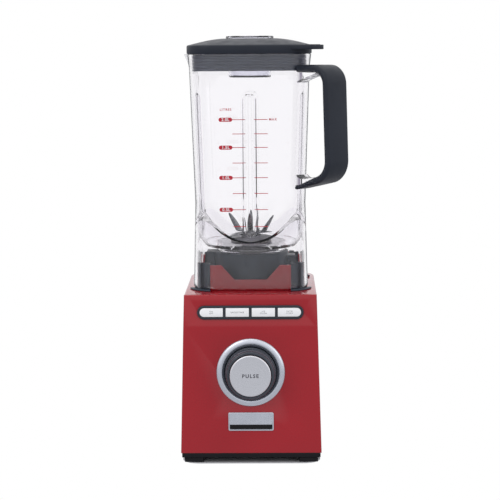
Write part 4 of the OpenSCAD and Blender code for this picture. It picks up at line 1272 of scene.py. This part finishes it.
class JUGBLENDER_OT_lid(MakePiece, bpy.types.Operator):
    """Makes the domed lid with its lifting tab, the ribbed seal and the filler cap"""

    bl_idname = "jugblender.lid"
    bl_label = "Lid"

    def execute(self, context):
        return self.done(self.cover(), self.tab(), self.seal(), self.cap())

    def cover(self):
        d = sizes("lid")
        j = sizes("jug")
        half = j.mouth + j.flare + 0.5 * MM
        corner = j.corner + j.flare
        plug, plug_r = seal_half() - 3 * MM, j.corner - j.wall - 4 * MM
        low, brim = LID_Z - d.seal + 2 * MM, LID_Z + d.edge
        top = brim + d.rise
        rows = [
            square_ring(plug, plug_r, low), square_ring(plug, plug_r, LID_Z),
            square_ring(half - 1.2 * MM, corner - 1.2 * MM, LID_Z),
            square_ring(half - 0.35 * MM, corner - 0.35 * MM, LID_Z + 0.35 * MM),
            square_ring(half, corner, LID_Z + 1.2 * MM),
            square_ring(half, corner, brim - 1.6 * MM),
            square_ring(half - 0.3 * MM, corner - 0.3 * MM, brim - 0.6 * MM),
            square_ring(half - 1.1 * MM, corner - 1.1 * MM, brim),
        ]
        crown = d.hole + 7 * MM
        for step in range(1, 13):
            part = step / 12
            width = half - 1.1 * MM + (crown - half + 1.1 * MM) * part
            radius = corner - 1.1 * MM + (crown - 1 * MM - corner) * part
            rise = d.rise * (0.35 * part + 0.65 * math.sin(part * math.pi / 2))
            rows.append(square_ring(width, min(radius, width - 0.5 * MM), brim + rise))
        like = rows[-1]
        wall = d.hole + 2.4 * MM
        for reach, z in (
            (d.hole + 1.0 * MM, top), (d.hole + 0.2 * MM, top - 0.3 * MM),
            (d.hole, top - 1.0 * MM), (d.hole, low), (wall, low), (wall, brim - 2.6 * MM),
        ):
            rows.append(round_ring(reach, z, like))
        hollow = plug - 2.2 * MM
        rows.append(square_ring(hollow, plug_r - 2 * MM, brim - 2.6 * MM))
        rows.append(square_ring(hollow, plug_r - 2 * MM, low))
        bm = bmesh.new()
        skin(bm, rows, close=True)
        return piece("lid", bm, "lid", finish("charcoal_plastic"),
                     ["lid_cover"], 40)

    def tab(self):
        """Thin tab over the grip, with three ribs to lift it by"""
        d = sizes("lid")
        top = LID_Z + d.edge
        reach = d.tab
        bm = bmesh.new()
        outline = [(74 * MM, 19 * MM), (reach - 6 * MM, 12.5 * MM), (reach - 1.6 * MM, 10 * MM),
                   (reach, 7 * MM)]
        outline += [(x, -y) for x, y in reversed(outline)]
        verts = [bm.verts.new((*in_handle_plane(x, y, 0).to_2d(), top - 5.4 * MM))
                 for x, y in outline]
        made = bmesh.ops.extrude_face_region(bm, geom=[bm.faces.new(verts)])
        moved = [v for v in made["geom"] if isinstance(v, bmesh.types.BMVert)]
        bmesh.ops.translate(bm, verts=moved, vec=(0, 0, 5.2 * MM))
        bmesh.ops.recalc_face_normals(bm, faces=bm.faces)
        soften(bm, sharp_edges(bm, math.radians(32)), 0.9 * MM, 3)
        for step in range(3):
            spot = in_handle_plane(reach - (5 + 4 * step) * MM, 0, 0)
            place = Matrix.Translation(spot) @ Matrix.Rotation(math.radians(-45), 4, "Z")
            slab(bm, 1.4 * MM, 15 * MM, top - 1 * MM, top + 0.25 * MM, 0.6 * MM, 0.2 * MM, place)
        return piece("lid_tab", bm, "lid", finish("charcoal_plastic"))

    def seal(self):
        d = sizes("lid")
        j = sizes("jug")
        half, radius = seal_half(), j.corner - j.wall
        low, high = LID_Z - d.seal, LID_Z - 0.1 * MM
        ribs = 5
        pitch = (d.seal - 1 * MM) / ribs
        rows = [square_ring(half - 2.8 * MM, radius - 3.9 * MM, low)]
        for rib in range(ribs):
            foot = low + rib * pitch
            for inset, up in ((1.3, 0.0), (0.45, 0.1), (0.05, 0.4), (0.0, 0.8), (0.05, 1.25),
                              (0.5, 1.7), (1.2, 2.0), (1.3, 2.6)):
                rows.append(square_ring(half - inset * MM, radius - inset * MM,
                                        foot + up * pitch / 3))
        rows.append(square_ring(half - 1.3 * MM, radius - 1.3 * MM, high))
        rows.append(square_ring(half - 2.8 * MM, radius - 3.9 * MM, high))
        bm = bmesh.new()
        skin(bm, rows, close=True)
        return piece("ribbed_seal", bm, "lid", finish("grey_seal"), ["lid_seal"])

    def cap(self):
        d = sizes("lid")
        outer = (CAP_HIGH.x - CAP_LOW.x) / 2
        r, low, high = d.hole - 0.3 * MM, CAP_LOW.z, CAP_HIGH.z
        under = high - 2.8 * MM
        wall = d.cap_wall
        profile = [
            (0, low), (r - 2.0 * MM, low), (r - 0.6 * MM, low + 0.4 * MM), (r, low + 1.8 * MM),
            (r, under), (outer - 0.5 * MM, under), (outer, under + 0.5 * MM),
            (outer, high - 0.9 * MM), (outer - 0.3 * MM, high - 0.25 * MM),
            (outer - 0.9 * MM, high), (outer - 3.2 * MM, high), (r - wall + 0.6 * MM, high - 0.4 * MM),
            (r - wall, high - 1.2 * MM), (r - wall, low + wall + 1.4 * MM),
            (r - wall - 0.4 * MM, low + wall + 0.4 * MM), (r - wall - 1.4 * MM, low + wall),
            (0, low + wall),
        ]
        bm = bmesh.new()
        turned(bm, profile, 128)
        return piece("measuring_cap", bm, "filler_cap", finish("clear_cap"),
                     ["filler_cap"], 30)


# ---------- blades ----------


BLADES = (  # node, heading, flat run, prong length, width, tilt
    ("blade_upper", 83, 13, 25, 9, 68),
    ("blade_middle", -30, 17, 24, 10, 58),
    ("blade_lower", 35, 18, 13, 11, -8),
)


def prong(bm, low, heading, flat, length, width, tilt):
    """One curved prong: flat at the hub, then bent, ground to an edge and drawn to a point"""
    thick = 1.8 * MM
    bend = 5 * MM
    turn = Matrix.Rotation(math.radians(heading), 3, "Z")
    tilt = math.radians(tilt)
    rows = []
    count = 26
    total = flat + length
    for step in range(count + 1):
        run = 6 * MM + (total - 6 * MM) * step / count
        past = run - (flat - bend / 2)
        if past <= 0:
            angle, x, z = 0.0, run, 0.0
        else:
            arc = min(past, bend)
            angle = tilt * arc / bend
            radius = bend / tilt
            x = flat - bend / 2 + radius * math.sin(angle)
            z = radius * (1 - math.cos(angle))
            rest = past - arc
            x += rest * math.cos(angle)
            z += rest * math.sin(angle)
        leaf = max(0.0, (run - flat) / length)
        half = width / 2 * (1 + 0.16 * math.sin(min(1.0, leaf * 1.4) * math.pi))
        half *= math.sqrt(max(0.0, 1 - leaf**3.2))
        sweep = width * 0.22 * leaf**2
        ground = 0.3 + 0.7 * (1 - smooth_step(leaf * 3))
        tip = 1 - 0.55 * leaf
        row = []
        for across, through in (
            (-1, 0.5 - 0.5 * ground), (-0.55, 0), (0.55, 0), (1, 0.5 - 0.5 * ground),
            (1, 0.5 + 0.5 * ground), (0.55, 1), (-0.55, 1), (-1, 0.5 + 0.5 * ground),
        ):
            high = (0.5 + (through - 0.5) * tip) * thick
            spot = Vector((x - math.sin(angle) * high, across * half + sweep,
                           z + math.cos(angle) * high + low))
            row.append(turn @ spot)
        rows.append(row)
    before = set(bm.verts)
    skin(bm, rows)
    new = [v for v in bm.verts if v not in before]
    rims = [e for e in {e for v in new for e in v.link_edges} if e.is_boundary]
    bmesh.ops.holes_fill(bm, edges=rims, sides=0)


class JUGBLENDER_OT_blades(MakePiece, bpy.types.Operator):
    """Makes the three bent blades, their hub discs, the spindle nut and the blade unit"""

    bl_idname = "jugblender.blades"
    bl_label = "Blades"

    def execute(self, context):
        made = []
        for node, heading, flat, length, width, tilt in BLADES:
            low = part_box(node)[0].z if tilt > 0 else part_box("blade_middle")[0].z - 2.15 * MM
            bm = bmesh.new()
            for side in (0, 180):
                prong(bm, low, heading + side, flat * MM, length * MM, width * MM, tilt)
            profile = [(4.1, 0.1), (4.3, 0), (9.7, 0), (10, 0.25), (10, 1.85), (9.7, 2.1),
                       (4.3, 2.1), (4.1, 1.9), (4.1, 0.1)]
            turned(bm, [(r * MM, low + z * MM) for r, z in profile], 48)
            made.append(piece(f"{node}_ground", bm, "blades", finish("blade_steel"),
                              [node], 24))
        made.append(soft_copy("blade_nut", "cap_nut", 0.4 * MM))
        made.append(soft_copy("blade_housing", "blade_base", 0.5 * MM))
        made.append(soft_copy("retaining_nut", "lock_nut", 0.6 * MM))
        return self.done(*made)


# ---------- motor and inner pieces ----------


class JUGBLENDER_OT_inside(MakePiece, bpy.types.Operator):
    """Gives every inner piece that keeps its plain shape its own finish"""

    bl_idname = "jugblender.inside"
    bl_label = "Motor and inner pieces"

    def execute(self, context):
        shown = [part for part in frame["nodes"].values() if not part.hide_render]
        for part in shown:
            slot = slot_of(part["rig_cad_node"])
            part.data.materials.clear()
            part.data.materials.append(finish(slot))
        return self.done(*shown)


# ---------- stage ----------


class JUGBLENDER_OT_stage(MakePiece, bpy.types.Operator):
    """Sets a grey patch under the base as painted contact shadow, which also takes the base's real
    shadow, white surroundings, soft studio light and the camera
    """

    bl_idname = "jugblender.stage"
    bl_label = "Stage"

    def execute(self, context):
        scene = bpy.context.scene
        scene.view_settings.view_transform = "Standard"
        self.surroundings(scene)
        # Grey patch the size of the bottom plate: painted shadow seen between the feet; it also takes
        # the base's real shadow and bounces light
        bm = bmesh.new()
        low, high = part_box("base_plate")
        slab(bm, high.x - low.x, high.y - low.y, -1.2 * MM, -0.2 * MM, 20 * MM)
        middle = Matrix.Translation((0, (low.y + high.y) / 2, 0))
        bmesh.ops.transform(bm, matrix=middle, verts=bm.verts)
        mesh = bpy.data.meshes.new("shadow_patch")
        bm.to_mesh(mesh)
        bm.free()
        mesh.materials.append(base_material("shadow_patch", (0.5, 0.5, 0.52), 0.6))
        shadow_patch = bpy.data.objects.new("shadow_patch", mesh)
        scene.collection.objects.link(shadow_patch)
        for name, spot, aim, width, height, power in (
            ("key", (-1.2, -1.6, 1.7), (0, 0, 0.25), 1.2, 1.2, 7),
            ("fill", (1.6, -1.3, 1.0), (0, 0, 0.25), 1.2, 1.2, 3),
            ("top", (0, 0.1, 2.0), (0, 0, 0.2), 1.4, 1.4, 4),
        ):
            light = bpy.data.lights.new(name, "AREA")
            light.shape = "RECTANGLE"
            light.size, light.size_y, light.energy = width, height, power
            holder = bpy.data.objects.new(name, light)
            holder.location = spot
            aimed = (Vector(aim) - Vector(spot)).to_track_quat("-Z", "Y")
            holder.rotation_euler = aimed.to_euler()
            scene.collection.objects.link(holder)

        camera = bpy.data.cameras.new("camera")
        camera.lens = 112.3
        camera.sensor_width = 36
        holder = bpy.data.objects.new("camera", camera)
        scene.collection.objects.link(holder)
        around = Matrix.Rotation(math.radians(1.0), 4, "Z")
        stand = Matrix.Translation((0, -1.83, 0.468))
        pan = Matrix.Rotation(math.radians(0.048), 4, "Z")
        tilt = Matrix.Rotation(math.radians(90 - 7.38), 4, "X")
        roll = Matrix.Rotation(math.radians(-0.45), 4, "Z")
        holder.matrix_world = around @ stand @ pan @ tilt @ roll
        scene.camera = holder
        return self.done(holder)

    def surroundings(self, scene):
        """White before and behind clear pieces, grey beside them, and a room brighter above"""
        world = bpy.data.worlds.new("studio")
        world.use_nodes = True
        tree = world.node_tree
        nodes, links = tree.nodes, tree.links
        background = nodes["Background"]
        way = nodes.new("ShaderNodeTexCoord")
        split = nodes.new("ShaderNodeSeparateXYZ")
        links.new(way.outputs["Generated"], split.inputs["Vector"])
        path = nodes.new("ShaderNodeLightPath")

        def stops(value, *tones):
            """Grey tones at heights or depths between -1 and 1 of the looking direction"""
            step = nodes.new("ShaderNodeMapRange")
            step.inputs["From Min"].default_value = -1
            links.new(value, step.inputs["Value"])
            ramp = nodes.new("ShaderNodeValToRGB")
            bands = ramp.color_ramp.elements
            while len(bands) < len(tones):
                bands.new(1.0)
            for band, (place, tint) in zip(bands, tones):
                band.position = (place + 1) / 2
                band.color = (*tint, 1)
            links.new(step.outputs["Result"], ramp.inputs["Fac"])
            return ramp.outputs["Color"]

        def choose(switch, off, on=None):
            """One tone while the switch is off, another or white while it is on"""
            mix = nodes.new("ShaderNodeMix")
            mix.data_type = "RGBA"
            mix.inputs[7].default_value = (1, 1, 1, 1)
            links.new(switch, mix.inputs[0])
            links.new(off, mix.inputs[6])
            if on:
                links.new(on, mix.inputs[7])
            return mix.outputs[2]

        room = stops(
            split.outputs["Z"], (-1, (0.60, 0.60, 0.62)), (-0.05, (0.52, 0.53, 0.56)),
            (0.05, (0.92, 0.92, 0.95)), (1, (1, 1, 1)),
        )
        backdrop = stops(
            split.outputs["Y"], (-0.8, (1, 1, 1)), (-0.6, (0.97, 0.97, 0.98)),
            (-0.05, (0.26, 0.23, 0.30)), (0.05, (0.26, 0.23, 0.30)),
            (0.6, (0.97, 0.97, 0.98)), (0.8, (1, 1, 1)),
        )
        seen = nodes.new("ShaderNodeMath")
        seen.operation = "SUBTRACT"
        seen.use_clamp = True
        links.new(path.outputs["Is Transmission Ray"], seen.inputs[0])
        links.new(path.outputs["Diffuse Depth"], seen.inputs[1])
        behind_clear = choose(seen.outputs[0], room, backdrop)
        everywhere = choose(path.outputs["Is Camera Ray"], behind_clear)
        links.new(everywhere, background.inputs["Color"])
        scene.world = world


# ---------- panel, registering and running ----------


GROUPS = {
    "base": BaseSizes, "controls": ControlSizes, "jug": JugSizes, "grip": GripSizes,
    "lid": LidSizes, "colours": Colours,
}
OPERATORS = (
    JUGBLENDER_OT_shell, JUGBLENDER_OT_underside, JUGBLENDER_OT_seat, JUGBLENDER_OT_dial,
    JUGBLENDER_OT_buttons, JUGBLENDER_OT_badge, JUGBLENDER_OT_jug, JUGBLENDER_OT_grip,
    JUGBLENDER_OT_marks, JUGBLENDER_OT_lid, JUGBLENDER_OT_blades, JUGBLENDER_OT_inside,
    JUGBLENDER_OT_stage,
)


class JUGBLENDER_PT_panel(bpy.types.Panel):
    """Lists the sizes, the colours and the pieces"""

    bl_idname = "JUGBLENDER_PT_panel"
    bl_label = "Countertop blender"
    bl_space_type = "VIEW_3D"
    bl_region_type = "UI"
    bl_category = "Blender jug"

    def draw(self, context):
        for name, group in GROUPS.items():
            box = self.layout.box()
            for key in group.__annotations__:
                box.prop(getattr(context.scene, "maker_" + name), key)
        for operator in OPERATORS:
            self.layout.operator(operator.bl_idname)


def register():
    for name, group in GROUPS.items():
        bpy.utils.register_class(group)
        setattr(bpy.types.Scene, "maker_" + name, bpy.props.PointerProperty(type=group))
    for item in (*OPERATORS, JUGBLENDER_PT_panel):
        bpy.utils.register_class(item)


def unregister():
    for item in reversed((*OPERATORS, JUGBLENDER_PT_panel)):
        bpy.utils.unregister_class(item)
    for name, group in GROUPS.items():
        delattr(bpy.types.Scene, "maker_" + name)
        bpy.utils.unregister_class(group)


def main():
    register()
    for operator in OPERATORS:
        group, name = operator.bl_idname.split(".")
        getattr(getattr(bpy.ops, group), name)()


if __name__ == "__main__":
    main()
